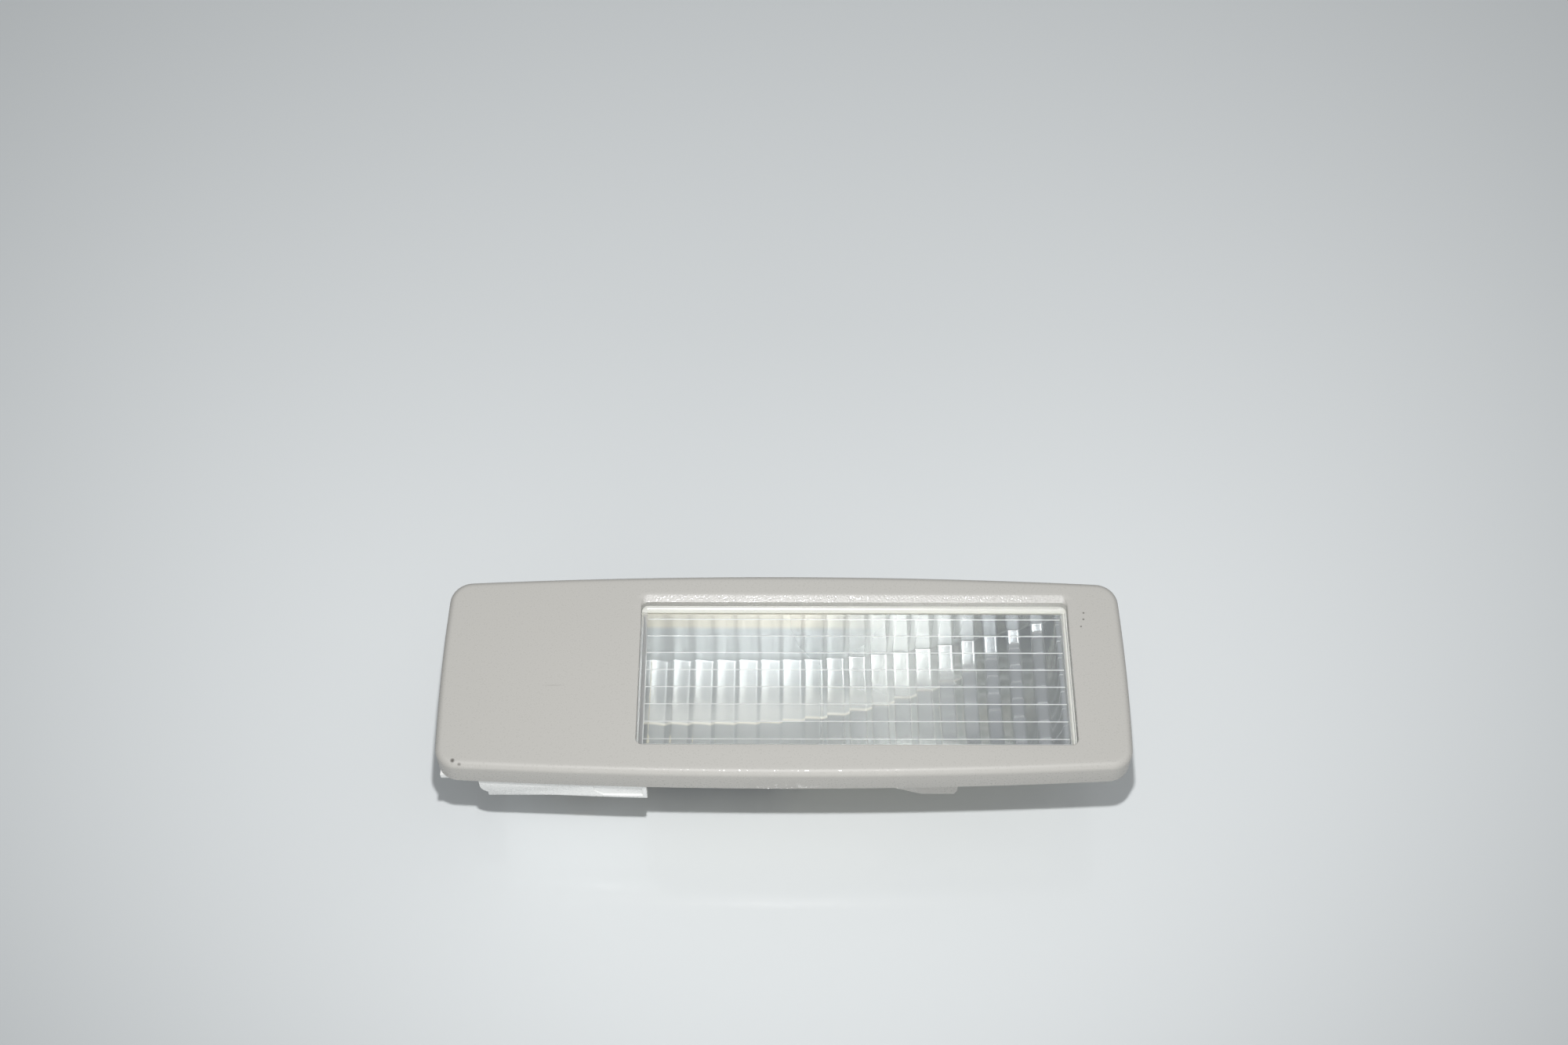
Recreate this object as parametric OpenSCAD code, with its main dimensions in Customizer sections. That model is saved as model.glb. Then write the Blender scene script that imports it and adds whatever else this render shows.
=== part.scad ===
// Car interior light, lying on its back: a grey bezel with a clear ribbed lens, a stepped
// reflector behind it, and a white lamp housing under the blank end of the bezel.
// X runs along the lamp, Z points out of its face, and the connector stands on z = 0.

/* [Bezel] */
// Overall length
bezel_l = 155; // [145:1:165]
// Overall width at mid-length
bezel_w = 51.3; // [51:0.1:56]
// How far each long side bows outwards
side_bow = 2.2; // [1:0.1:3]
// How far each end bows outwards
end_bow = 0.7; // [0.4:0.1:1.5]
// Radius of the four corners
corner_r = 5.2; // [4:0.1:8]
// Height of the skirt, face to lower rim
skirt_h = 7.3; // [6:0.1:10]
// Wall of the skirt
skirt_wall = 1.8; // [1.2:0.1:2]
// Thickness of the face
face_t = 2.4; // [2:0.1:3]
// Rounding between the face and the skirt
edge_r = 1.6; // [0.8:0.1:2]

/* [Window] */
// Length of the lens opening
window_l = 97.9; // [90:0.1:102]
// Width of the lens opening
window_w = 36.7; // [32:0.1:37.5]
// Corner radius of the lens opening
window_r = 1.5; // [0.8:0.1:3]
// Distance from the right end of the bezel to the opening
window_margin = 12.4; // [11:0.1:15]
// Width of the bevel along the rear edge of the opening
bevel_w = 1.7; // [1:0.1:2]
// Drop of that bevel
bevel_drop = 0.65; // [0.3:0.05:1]

/* [Lens] */
// Depth of the lens surface below the face
lens_sink = 2.1; // [1.6:0.1:2.3]
// Gap between the lens and the opening
lens_fit = 0.2; // [0.1:0.05:0.3]
// Width of the flange that hides under the bezel
lens_lip = 1.8; // [1.2:0.1:2]
// Thickness of that flange
lip_t = 1.6; // [1.2:0.1:2.4]
// Rounding of the lens edge
lens_edge_r = 0.7; // [0.4:0.1:1]
// Number of fine grooves in the back of the lens
groove_n = 8; // [4:1:8]
// Distance from groove to groove
groove_pitch = 4.4; // [3:0.1:4.6]
// Width of one groove
groove_w = 0.5; // [0.3:0.1:0.8]

/* [Reflector] */
// Wall of the reflector
reflector_wall = 1.3; // [1:0.1:1.8]
// Clear width of the trough
trough_w = 34.7; // [30:0.1:35.5]
// Depth of the trough below its rim
trough_d = 20.3; // [18:0.1:23]
// Thickness of the rim
rim_t = 1.4; // [1:0.1:2]
// Distance from step to step along the floor
step_pitch = 5.25; // [4:0.01:8]
// Distance from the left end of the window to the first step
first_step = 1; // [0.5:0.1:2]
// Steepness of the short face that throws the light out, rise over run
short_slope = 1; // [0.8:0.05:1.4]
// Hollow of the long face of each step
step_sag = 0.1; // [0.1:0.05:0.3]
// Length of the level stretch of floor beside the bulb
level_l = 28; // [20:1:40]
// Radius of the sweep that lifts the floor towards the far end
sweep_r = 129; // [115:1:160]
// Radius of the bowl of the floor, seen along the lamp
bowl_r = 115; // [35:1:120]
// Distance of the lowest line of the floor behind the middle of the lamp
low_y = 12; // [0:0.5:12]
// Radius of the curve that lifts the floor to the front wall
front_r = 16; // [16:1:30]
// Distance before the middle of the lamp at which that curve starts
front_y = 5; // [4:0.5:8]

/* [Housing] */
// Wall of the housing
housing_wall = 1.6; // [1.2:0.1:2]
// Distance from the left end of the bezel to the housing
end_margin = 10.5; // [9:0.1:14]
// Distance from the widest point of the bezel to the side of the housing
side_margin = 3.85; // [3.5:0.05:6]
// Distance from the reflector to the axis of the bulb
bulb_gap = 15.5; // [14:0.1:17]
// Depth of the axis of the bulb below the face
bulb_d = 13; // [12:0.1:15]
// Height of the panel that shows under the front of the skirt
panel_h = 6.4; // [4:0.1:8]
// Length of the floor that runs on under the reflector
cradle_l = 34; // [32:1:40]
// Depth at which the sides of the bulb chamber start to lean in
lean_d = 18.5; // [17:0.1:20]
// Half width lost to the lean at the back of the chamber
lean_in = 6; // [5:0.1:7]

/* [Bulb] */
// Diameter of the glass
glass_dia = 10.5; // [9:0.1:11]
// Diameter of the caps
cap_dia = 7; // [6:0.1:8]
// Length of one cap
cap_l = 7; // [6:0.1:8]
// Space for the spring contact at each end
contact_room = 2.2; // [2:0.1:2.6]
// Thickness of the contact springs
contact_t = 0.5; // [0.3:0.1:0.6]
// Width of the contact springs
contact_w = 7; // [5:0.1:9]

/* [Connector] */
// Height of the connector, back of the housing to the table
socket_h = 9.2; // [7.6:0.1:12]
// Length of the connector
socket_l = 28; // [24:1:30]
// Width of the connector
socket_w = 18; // [17:0.1:22]
// Wall of the connector
socket_wall = 1.2; // [1:0.1:1.5]
// Width of a blade
blade_w = 2.8; // [2.4:0.1:4]
// Thickness of a blade
blade_t = 0.8; // [0.6:0.1:1]
// Distance between the two blades
blade_pitch = 7; // [6:0.1:8]

/* [Fixings] */
// Thickness of the steel retaining spring
spring_t = 0.6; // [0.4:0.1:0.8]
// Width of the retaining spring
spring_w = 12; // [8:0.5:16]
// Thread diameter of the housing screws
screw_dia = 2.9; // [2.5:0.1:3.5]
// Shank diameter of the rivets
rivet_dia = 2.6; // [2:0.1:3]
// Width of a snap arm
arm_w = 8; // [6:0.1:10]
// Thickness of a snap arm
arm_t = 1.4; // [1:0.1:1.5]
// Length of the front snap arm, face to tip
arm_d = 17.5; // [15:0.1:18]

/* [Hidden] */
$fn = 40;
bezel_grey = "#bfbeb9";
lens_clear = "#e4ebeecc";
mirror = "#d9dcdd";
white = "#e9e8e4";
tin = "#c9ccce";
brass = "#c8ab62";
dark = "#2d2f31";
steel = "#9fa3a6";
glass = "#dfeaf0aa";
tungsten = "#6c6f73";

// Everything sits below the face: depths add up from the face to the back of the housing
seat = 0.2;
rim_d = face_t + lip_t;
floor_d = rim_d + trough_d;
window_x1 = bezel_l / 2 - window_margin;
window_x0 = window_x1 - window_l;
window_y = 0.2;
wall_x = window_x0 - seat;
bulb_x = wall_x - bulb_gap;
step_x0 = window_x0 + first_step;
step_n = floor((window_x1 - lens_fit - step_x0) / step_pitch);
low_d = floor_d + ray_slope(step_x0) * long_run(step_x0) + reflector_wall;
back_d = low_d + seat + housing_wall;
face_z = back_d + socket_h;
housing_w = bezel_w - 2 * side_margin;
chamber_w = housing_w - 2 * housing_wall;
bulb_l = chamber_w - 2 * contact_room;
housing_x0 = end_margin - bezel_l / 2;
chamber_x0 = housing_x0 + housing_wall;
chamber_l = wall_x - housing_wall - chamber_x0;
cap_t = 0.5;
cap_end = 3;
lens_l = window_l - 2 * lens_fit;
lens_w = window_w - 2 * lens_fit;
lip_l = lens_l + 2 * lens_lip;
lip_w = lens_w + 2 * lens_lip;
lens_x = (window_x0 + window_x1) / 2;
reflector_w = trough_w + 2 * reflector_wall;
catch_reach = 1.5;
catch_h = 1.7;
arm_y = lip_w / 2 + abs(window_y) + 2 * seat;
ear_t = 1.6;
ear_r = 3.4;
ear_y = 10;
ear_x = housing_x0 - ear_r - 0.9;
boss_r = ear_r - 0.4;
screw_play = 0.4;
blade_d = back_d + socket_h / 2;
blade_l = 9;
socket_x1 = wall_x + cradle_l - 3;
socket_x0 = socket_x1 - socket_l;
socket_back = 2;
stake_dia = 2;
stake_y = socket_w / 2 + 1.8;
foot_end = 2.6;
rivet_gap = 5.3;
rivet_y1 = chamber_w / 2 - lean_in - foot_end - 2 * seat;
rivet_y = [rivet_y1 - rivet_gap, rivet_y1];
tip_h = 0.6;
tip_hole_r = 1.6;
leaf_y = bulb_l / 2 - tip_h + contact_t;
pad_t = 2;
pad_x = window_x1 + 2 * lens_fit + reflector_wall;

// Height above the table of a depth below the face
function up(d) = face_z - d;

function arc(c, r, a0, a1, n) = [for (i = [0:n])
    let (a = a0 + (a1 - a0) * i / n) c + r * [cos(a), sin(a)]];

function inner_points(points) = [for (i = [1:len(points) - 2]) points[i]];

function turned(points) = [for (i = [len(points) - 1:-1:0]) points[i]];

// A quarter mirrored into a closed outline
function four(q) = concat(
    q,
    turned([for (p = q) if (p.x > 0.001) [-p.x, p.y]]),
    [for (p = q) if (p.y > 0.001) [-p.x, -p.y]],
    turned([for (p = q) if (p.x > 0.001 && p.y > 0.001) [p.x, -p.y]]));

// Outline of the bezel: long sides, ends and corners are arcs that run into each other
function bezel_outline(inset) = let (
    a = bezel_l / 2,
    b = bezel_w / 2,
    side_r = (a * a + side_bow * side_bow) / (2 * side_bow),
    end_r = (b * b + end_bow * end_bow) / (2 * end_bow),
    side_c = [0, b - side_r],
    end_c = [a - end_r, 0],
    between = end_c - side_c,
    span = norm(between),
    along = ((side_r - corner_r) ^ 2 - (end_r - corner_r) ^ 2 + span ^ 2) / (2 * span),
    aside = sqrt((side_r - corner_r) ^ 2 - along ^ 2),
    corner_c = side_c + along / span * between + aside / span * [-between.y, between.x] * -1,
    end_a = atan2(corner_c.y - end_c.y, corner_c.x - end_c.x),
    side_a = atan2(corner_c.y - side_c.y, corner_c.x - side_c.x)
) four(concat(
    arc(end_c, end_r - inset, 0, end_a, 2),
    inner_points(arc(corner_c, corner_r - inset, end_a, side_a, 8)),
    arc(side_c, side_r - inset, side_a, 90, 6)));

// Outline of a rectangle with round corners, centred
function round_rect(l, w, r, n = 5) = four(concat(
    [[l / 2, 0]], arc([l / 2 - r, w / 2 - r], r, 0, 90, n), [[0, w / 2]]));

// Solid through rings that all have the same number of points: each ring is [outline, z]
module loft(rings) {
    n = len(rings[0][0]);
    points = [for (ring = rings) for (p = ring[0]) [p.x, p.y, ring[1]]];
    sides = [for (k = [0:len(rings) - 2]) for (i = [0:n - 1])
        let (j = (i + 1) % n)
        [k * n + i, (k + 1) * n + i, (k + 1) * n + j, k * n + j]];
    bottom = [for (i = [0:n - 1]) i];
    top = [for (i = [n - 1:-1:0]) (len(rings) - 1) * n + i];
    polyhedron(points, concat([bottom], sides, [top]), convexity = 4);
}

// A box between two corners
module block(low, high) {
    translate(low) cube(high - low);
}

// A profile drawn as (x, z) and carried from y0 to y1
module along_y(y0, y1) {
    translate([0, y1, 0]) rotate([90, 0, 0]) linear_extrude(y1 - y0, convexity = 6) children();
}

// A profile drawn as (y, z) and carried from x0 to x1
module along_x(x0, x1) {
    translate([x0, 0, 0]) rotate([90, 0, 90]) linear_extrude(x1 - x0, convexity = 6) children();
}

// Sheet metal seen on edge: a path given a thickness to its left
function sheet(path, t) = let (last = len(path) - 1) concat(path, turned([for (i = [0:last])
    let (
        before = i > 0 ? path[i] - path[i - 1] : path[1] - path[0],
        after = i < last ? path[i + 1] - path[i] : before,
        n0 = [-before.y, before.x] / norm(before),
        n1 = [-after.y, after.x] / norm(after)
    ) path[i] + t * (n0 + n1) / (1 + n0 * n1)]));

// Front and rear copies of what is drawn for the rear
module both_sides() {
    children();
    mirror([0, 1, 0]) children();
}

// Where the snap arms of the bezel hold the reflector: one in front, two behind
front_arm_x = lens_x + 15.6;
rear_arm_x = [lens_x - lens_l / 6, lens_x + lens_l / 6];
catch_d = arm_d - 2.4;

// Snap arm of the bezel: its nose reaches under a catch, and its tip slopes up to the left
module bezel_arm(x, w) {
    root = up(face_t - 0.4);
    intersection() {
        along_x(x - w / 2, x + w / 2)
            polygon([
                [arm_y + arm_t, root], [arm_y + arm_t, up(arm_d)],
                [arm_y, up(arm_d)], [arm_y - catch_reach, up(catch_d)],
                [arm_y, up(catch_d)], [arm_y, root]
            ]);
        along_y(0, arm_y + arm_t + 1)
            polygon([
                [x - w / 2, root], [x - w / 2, up(arm_d - 3.4)], [x - w / 20, up(arm_d)],
                [x + w / 2 - 0.6, up(arm_d)], [x + w / 2, up(arm_d - 1.6)], [x + w / 2, root]
            ]);
    }
}

module bezel() {
    fillet_n = 4;
    outer = concat(
        [[bezel_outline(0), up(skirt_h)]],
        [for (k = [0:fillet_n]) let (a = 90 * k / fillet_n)
            [bezel_outline(edge_r * (1 - cos(a))), up(edge_r * (1 - sin(a)))]]);
    color(bezel_grey) {
        difference() {
            loft(outer);
            // The hollow behind the face
            translate([0, 0, up(skirt_h) - 1])
                linear_extrude(skirt_h - face_t + 1)
                    polygon(bezel_outline(skirt_wall));
            // The opening for the lens, and the bevel along its rear edge
            translate([lens_x, window_y, up(face_t) - 1])
                linear_extrude(face_t + 2)
                    polygon(round_rect(window_l, window_w, window_r));
            along_x(window_x0 - lens_lip / 2, window_x1 + lens_lip / 2)
                polygon([
                    [window_y + window_w / 2 - 1, up(0) + 1],
                    [window_y + window_w / 2 - 1, up(bevel_drop)],
                    [window_y + window_w / 2, up(bevel_drop)],
                    [window_y + window_w / 2 + bevel_w, up(0)],
                    [window_y + window_w / 2 + bevel_w, up(0) + 1]
                ]);
        }
        // Bosses for the two housing screws
        for (y = [-ear_y, ear_y])
            translate([ear_x, y, up(skirt_h)]) difference() {
                cylinder(r = boss_r, h = skirt_h - face_t);
                translate([0, 0, -1]) cylinder(d = screw_dia - screw_play, h = skirt_h - face_t + 1);
            }
        // Ribs that hold the heat shield down
        for (x = [bulb_x - glass_dia, bulb_x + glass_dia])
            block([x - 0.6, -bulb_l / 3, up(shield_d)], [x + 0.6, bulb_l / 3, up(face_t)]);
        // Snap arms
        mirror([0, 1, 0]) bezel_arm(front_arm_x, arm_w + 7);
        for (x = rear_arm_x) bezel_arm(x, arm_w);
    }
}

module lens() {
    fillet_n = 3;
    groove_d = groove_w / 2;
    color(lens_clear) difference() {
        union() {
            translate([lens_x, window_y, 0])
                loft(concat(
                    [[round_rect(lens_l, lens_w, window_r - lens_fit), up(rim_d - lip_t / 2)]],
                    [for (k = [0:fillet_n]) let (a = 90 * k / fillet_n, in = lens_edge_r * (1 - cos(a)))
                        [round_rect(lens_l - 2 * in, lens_w - 2 * in, window_r - lens_fit - in),
                         up(lens_sink + lens_edge_r * (1 - sin(a)))]]));
            translate([lens_x, window_y, up(rim_d)])
                linear_extrude(lip_t) polygon(round_rect(lip_l, lip_w, window_r));
        }
        for (i = [0:groove_n - 1])
            translate([0, window_y + (i - (groove_n - 1) / 2) * groove_pitch, up(rim_d)])
                along_x(window_x0 + lens_fit + 1.2, window_x1 - lens_fit - 1.2)
                    polygon([[-groove_w / 2, -0.1], [groove_w / 2, -0.1], [0, groove_d]]);
    }
}

// Depth of the reflector floor at a step edge: level beside the bulb, then swept upwards
function floor_at(x) = let (run = max(0, x - window_x0 - level_l))
    max(rim_d + rim_t, floor_d - rise(sweep_r, run));

// Slope of the ray from the underside of the bulb to a step that starts at x
function ray_slope(x) = (floor_at(x) - bulb_d - glass_dia / 2) / (x - bulb_x);

// Run of the long face of that step, to where it meets the short face coming down from the next step
function long_run(x) =
    (floor_at(x + step_pitch) + short_slope * step_pitch - floor_at(x)) / (short_slope + ray_slope(x));

// One step: the long face lies along the ray, slightly hollow; the short face throws the light out
function step_points(i) = let (
    x = step_x0 + i * step_pitch,
    d = floor_at(x),
    w = long_run(x),
    drop = ray_slope(x) * w
) [[x, d], [x + w / 2, d + drop / 2 + step_sag], [x + w, d + drop]];

function floor_points() = concat(
    [[wall_x, floor_d + 1]],
    [for (i = [0:step_n - 1]) each step_points(i)],
    [[window_x1 - lens_fit, rim_d + rim_t]]);

// Rise of a curve of radius r at a run from where it starts
function rise(r, run) = r - sqrt(r ^ 2 - run ^ 2);

// Share of its full depth that the floor keeps at y: a bowl with its lowest line behind the middle,
// and a closer curve in front
function bowl_share(y) =
    1 - (rise(bowl_r, y - low_y) + rise(front_r, max(0, -front_y - y))) / (floor_d - rim_d - rim_t);

// Depth of the floor at y, where it is d deep on its lowest line
function bowl_depth(d, y) = rim_d + rim_t + (d - rim_d - rim_t) * bowl_share(y);

// Solid from a height down to the stepped floor, across the given width and lowered by a wall
module floor_solid(points, width, lower, top) {
    rows = 8;
    n = len(points);
    ys = [for (j = [0:rows]) width * (j / rows - 0.5)];
    skin = [for (y = ys) for (p = points) [p.x, y, up(bowl_depth(p.y, y) + lower)]];
    corners = [for (y = [ys[0], ys[rows]]) for (p = [points[0], points[n - 1]]) [p.x, y, top]];
    c = len(skin);
    quads = [for (j = [0:rows - 1]) for (i = [0:n - 2])
        let (a = j * n + i) each [[a, a + 1, a + n + 1], [a, a + n + 1, a + n]]];
    front = concat([for (i = [0:n - 1]) i], [c + 1, c]);
    rear = concat([for (i = [n - 1:-1:0]) rows * n + i], [c + 2, c + 3]);
    left = concat([for (j = [rows:-1:0]) j * n], [c, c + 2]);
    right = concat([for (j = [0:rows]) j * n + n - 1], [c + 3, c + 1]);
    polyhedron(concat(skin, corners),
               concat(quads, [turned(front), turned(rear), turned(left), turned(right), [c, c + 2, c + 3, c + 1]]),
               convexity = 8);
}

module reflector() {
    x1 = window_x1 - lens_fit;
    points = floor_points();
    end_x = x1 + reflector_wall;
    color(mirror) difference() {
        union() {
            // The trough with its walls
            floor_solid(concat(points, [[end_x, rim_d + rim_t]]), reflector_w, reflector_wall, up(rim_d) - 0.2);
            // The rim that presses the lens against the bezel
            translate([lens_x, window_y, up(rim_d + rim_t)])
                linear_extrude(rim_t) polygon(round_rect(lip_l, lip_w, window_r));
            // Catches for the snap arms of the bezel and of the housing
            mirror([0, 1, 0]) reflector_catch(front_arm_x, arm_w + 3, arm_y - seat, catch_d);
            for (x = rear_arm_x) reflector_catch(x, arm_w - 2, arm_y - seat, catch_d);
            reflector_catch(cradle_arm_x, arm_w - 2, cradle_arm_y - seat, cradle_catch_d + catch_h);
            // Ribs that stiffen the rim
            for (x = rib_x, side = [-1, 1]) rim_rib(x, side);
            // Pad for the retaining spring, with two gussets
            hull() {
                block([pad_x, -spring_w / 2, up(rim_d + 1)], [pad_x + pad_t, spring_w / 2, up(rim_d)]);
                block([pad_x, 1 - spring_w / 2, up(pad_d)], [pad_x + pad_t, spring_w / 2 - 1, up(pad_d) + 1]);
            }
            block([end_x - 0.2, -spring_w / 2, up(rim_d + rim_t + reflector_wall)],
                  [pad_x + 0.1, spring_w / 2, up(rim_d)]);
            for (y = [-spring_w / 2 + 1, spring_w / 2 - 2]) hull() {
                block([pad_x - 0.5, y, up(pad_d - 0.5)], [pad_x + 0.5, y + 1, up(rim_d + 1)]);
                block([end_x - gusset_l, y, up(rim_d + gusset_l / 2)], [end_x - gusset_l + 1, y + 1, up(rim_d + 1)]);
            }
        }
        floor_solid(concat([[wall_x - 3, points[0].y]], points), trough_w, 0, up(rim_d) + 1);
        translate([pad_x - 1, 0, up(pad_rivet_d)]) rotate([0, 90, 0])
            cylinder(d = rivet_dia + 0.2, h = pad_t + 2);
    }
}

pad_d = 17;
pad_rivet_d = 11;
gusset_l = 12;
rib_x = [for (i = [-1:1]) lens_x + i * lens_l / 4];
cradle_arm_x = wall_x + cradle_l / 2 + 1;
cradle_arm_y = reflector_w / 2 + catch_reach;
cradle_catch_d = floor_d - 4;

// A ledge on the outside of the reflector wall, its flat underside at the given depth
module reflector_catch(x, w, y1, d) {
    hull() {
        block([x - w / 2, trough_w / 2 + 0.4, up(d)], [x + w / 2, reflector_w / 2, up(d - catch_h)]);
        block([x - w / 2, reflector_w / 2, up(d)], [x + w / 2, y1, up(d - catch_h / 2)]);
    }
}

// A small rib between the rim and the wall, in front (side -1) or behind (side 1)
module rim_rib(x, side) {
    y0 = side * (trough_w / 2 + 0.4);
    y1 = window_y + side * (lip_w / 2 - 0.4);
    hull() {
        block([x - 0.5, min(y0, y1), up(rim_d + rim_t)], [x + 0.5, max(y0, y1), up(rim_d + 0.4)]);
        block([x - 0.5, min(y0, side * reflector_w / 2), up(rim_d + rim_t + 2)],
              [x + 0.5, max(y0, side * reflector_w / 2), up(rim_d + rim_t)]);
    }
}

// Section of the bulb chamber, its sides leaning in towards the back, in (y, z)
module chamber_section(half, bottom, top) {
    side = [[half, top], [half, up(lean_d)], [half - lean_in, bottom]];
    polygon(concat(side, turned([for (p = side) [-p.x, p.y]])));
}

module housing() {
    floor_in = back_d - housing_wall;
    plate_x1 = wall_x + cradle_l;
    color(white) difference() {
        union() {
            // Bulb chamber
            along_x(housing_x0, wall_x) chamber_section(housing_w / 2, up(back_d), up(face_t));
            // Floor that runs on under the reflector
            block([wall_x - 1, -stake_y - 2, up(back_d)], [plate_x1, stake_y + 2, up(floor_in)]);
            cradle_arm(floor_in);
            // Stakes that carry the connector
            for (x = [socket_x0 + 3.5, socket_x1 - 3.5], y = [-stake_y, stake_y])
                translate([x, y, up(back_d + ear_t)]) {
                    cylinder(d = stake_dia, h = ear_t + 0.5);
                    translate([0, 0, -0.8]) cylinder(d1 = stake_dia, d2 = stake_dia + 1.2, h = 0.8);
                }
            // Ears for the housing screws
            for (y = [-ear_y, ear_y]) {
                translate([ear_x, y, up(skirt_h + ear_t)]) cylinder(r = ear_r, h = ear_t);
                block([ear_x, y - ear_r, up(skirt_h + ear_t)], [housing_x0 + 0.1, y + ear_r, up(skirt_h)]);
            }
            end_hooks();
            front_panel();
        }
        // Inside of the bulb chamber
        along_x(chamber_x0, chamber_x0 + chamber_l)
            chamber_section(chamber_w / 2, up(floor_in), up(face_t) + 1);
        // Way for the light into the reflector
        along_x(wall_x - housing_wall - 1, wall_x + 1)
            polygon(concat(
                [for (j = [0:8]) let (y = trough_w * (j / 8 - 0.5)) [y, up(bowl_depth(floor_d, y))]],
                [[trough_w / 2, up(face_t) + 1], [-trough_w / 2, up(face_t) + 1]]));
        // Room for the rim of the reflector and the flange of the lens
        block([wall_x - housing_wall - 1, -chamber_w / 2, up(rim_d + rim_t)],
              [wall_x + 1, chamber_w / 2, up(face_t) + 1]);
        for (y = [-ear_y, ear_y])
            translate([ear_x, y, up(skirt_h + ear_t) - 1]) cylinder(d = screw_dia + screw_play, h = ear_t + 2);
        for (y = rivet_y) both_sides()
            translate([bulb_x, y, up(back_d) - 1]) cylinder(d = rivet_dia + 0.2, h = housing_wall + 2);
    }
    // Corner ledges that the heat shield rests on
    color(white) for (x = [chamber_x0 + 2.5, wall_x - housing_wall - 5]) both_sides()
        block([x, chamber_w / 2 - 1, up(lean_d)], [x + 3, chamber_w / 2 + 0.1, up(shield_d + shield_t)]);
}

// Snap arm that holds the cradle to the rear wall of the reflector
module cradle_arm(floor_in) {
    y1 = cradle_arm_y + arm_t;
    block([cradle_arm_x - arm_w / 2, 0, up(back_d)], [cradle_arm_x + arm_w / 2, y1, up(floor_in)]);
    along_x(cradle_arm_x - arm_w / 2, cradle_arm_x + arm_w / 2)
        polygon([
            [y1, up(floor_in) - 0.1], [y1, up(cradle_catch_d - 2)],
            [cradle_arm_y, up(cradle_catch_d - 2)], [cradle_arm_y - catch_reach + 0.3, up(cradle_catch_d)],
            [cradle_arm_y, up(cradle_catch_d)], [cradle_arm_y, up(floor_in) - 0.1]
        ]);
}

// Hooks at the left end: flat tabs just under the skirt
module end_hooks() {
    hook_w = 6;
    hook_y = bezel_w / 2 - 3.4;
    both_sides() block([-bezel_l / 2 + 1, hook_y - hook_w, up(skirt_h + 1.6)],
                       [housing_x0 + 0.1, hook_y, up(skirt_h)]);
}

// Panel under the front of the skirt: a shelf, an outer wall that follows the bow of the bezel
// with a round lower corner, and a sunk field at its right end
module front_panel() {
    x0 = housing_x0 - 1;
    x1 = wall_x + 2.4;
    inset = 0.5;
    corner = 3;
    field_l = 11.8;
    frame = 1;
    sunk = 0.5;
    intersection() {
        difference() {
            translate([0, 0, up(skirt_h + panel_h)])
                linear_extrude(panel_h) polygon(bezel_outline(inset));
            translate([0, 0, up(skirt_h + panel_h) - 1])
                linear_extrude(panel_h - housing_wall + 1) polygon(bezel_outline(inset + housing_wall));
            along_y(-bezel_w, -bezel_w / 2 + inset + sunk + 0.35)
                polygon([
                    [x1 - frame, up(skirt_h + frame)], [x1 - field_l, up(skirt_h + frame)],
                    [x1 - field_l, up(skirt_h + panel_h - frame - 2)],
                    [x1 - field_l + 2, up(skirt_h + panel_h - frame)],
                    [x1 - frame, up(skirt_h + panel_h - frame)]
                ]);
        }
        along_y(-bezel_w, -housing_w / 2 + 0.2)
            polygon(concat(
                [[x1, up(skirt_h)], [x0, up(skirt_h)]],
                arc([x0 + corner, up(skirt_h + panel_h - corner)], corner, 180, 270, 5),
                [[x1, up(skirt_h + panel_h)]]));
    }
}

module socket() {
    z1 = up(back_d);
    color(dark) difference() {
        union() {
            block([socket_x0, -socket_w / 2, 0], [socket_x1, socket_w / 2, z1]);
            // Ears that the stakes of the housing pass through
            for (x = [socket_x0, socket_x1 - 7])
                block([x, -stake_y - 2, z1 - ear_t], [x + 7, stake_y + 2, z1]);
        }
        // The mouth faces along the lamp
        block([socket_x0 + socket_back, -socket_w / 2 + socket_wall, socket_wall],
              [socket_x1 + 1, socket_w / 2 - socket_wall, z1 - socket_wall]);
        // Keyways for the plug
        block([socket_x1 - 9, -socket_w / 4 - 0.8, -1], [socket_x1 + 1, -socket_w / 4 + 0.8, socket_wall + 1]);
        for (y = [-blade_pitch / 2, blade_pitch / 2])
            block([socket_x0 - 1, y - blade_w / 2, up(blade_d)],
                  [socket_x0 + socket_back + 1, y + blade_w / 2, up(blade_d - blade_t)]);
        for (x = [socket_x0 + 3.5, socket_x1 - 3.5], y = [-stake_y, stake_y])
            translate([x, y, z1 - ear_t - 1]) cylinder(d = stake_dia + 0.2, h = ear_t + 2);
    }
}

shield_d = face_t + 1;
shield_t = 0.5;

// Folded sheet over the bulb: a top, a leg down the blind end and a short lip towards the lens
module heat_shield() {
    x0 = chamber_x0 + 0.3;
    x1 = wall_x - housing_wall - 0.5;
    color(tin) along_y(-chamber_w / 2 + 0.4, chamber_w / 2 - 0.4)
        polygon(sheet([
            [x1, up(shield_d + 2)], [x1, up(shield_d)], [x0, up(shield_d)], [x0, up(lean_d - 1)]
        ], shield_t));
}

// Festoon bulb, drawn along its axis from the middle outwards and turned to lie along Y
module bulb_axis() {
    translate([bulb_x, 0, up(bulb_d)]) rotate([-90, 0, 0]) children();
}

module bulb_glass() {
    half = bulb_l / 2 - cap_l;
    neck = cap_dia / 2 - cap_t - 0.05;
    r = glass_dia / 2;
    t = 0.6;
    outer = concat([[neck, -half - 2], [neck, -half]],
        [for (a = [-60:20:0]) [r - 2 + 2 * cos(a), -half + 3 + 3 * sin(a)]],
        [for (a = [0:20:60]) [r - 2 + 2 * cos(a), half - 3 + 3 * sin(a)]],
        [[neck, half], [neck, half + 2]]);
    inner = turned([for (p = outer) [p.x - t, p.y]]);
    color(glass) bulb_axis() rotate_extrude() polygon(concat(outer, inner));
}

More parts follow.
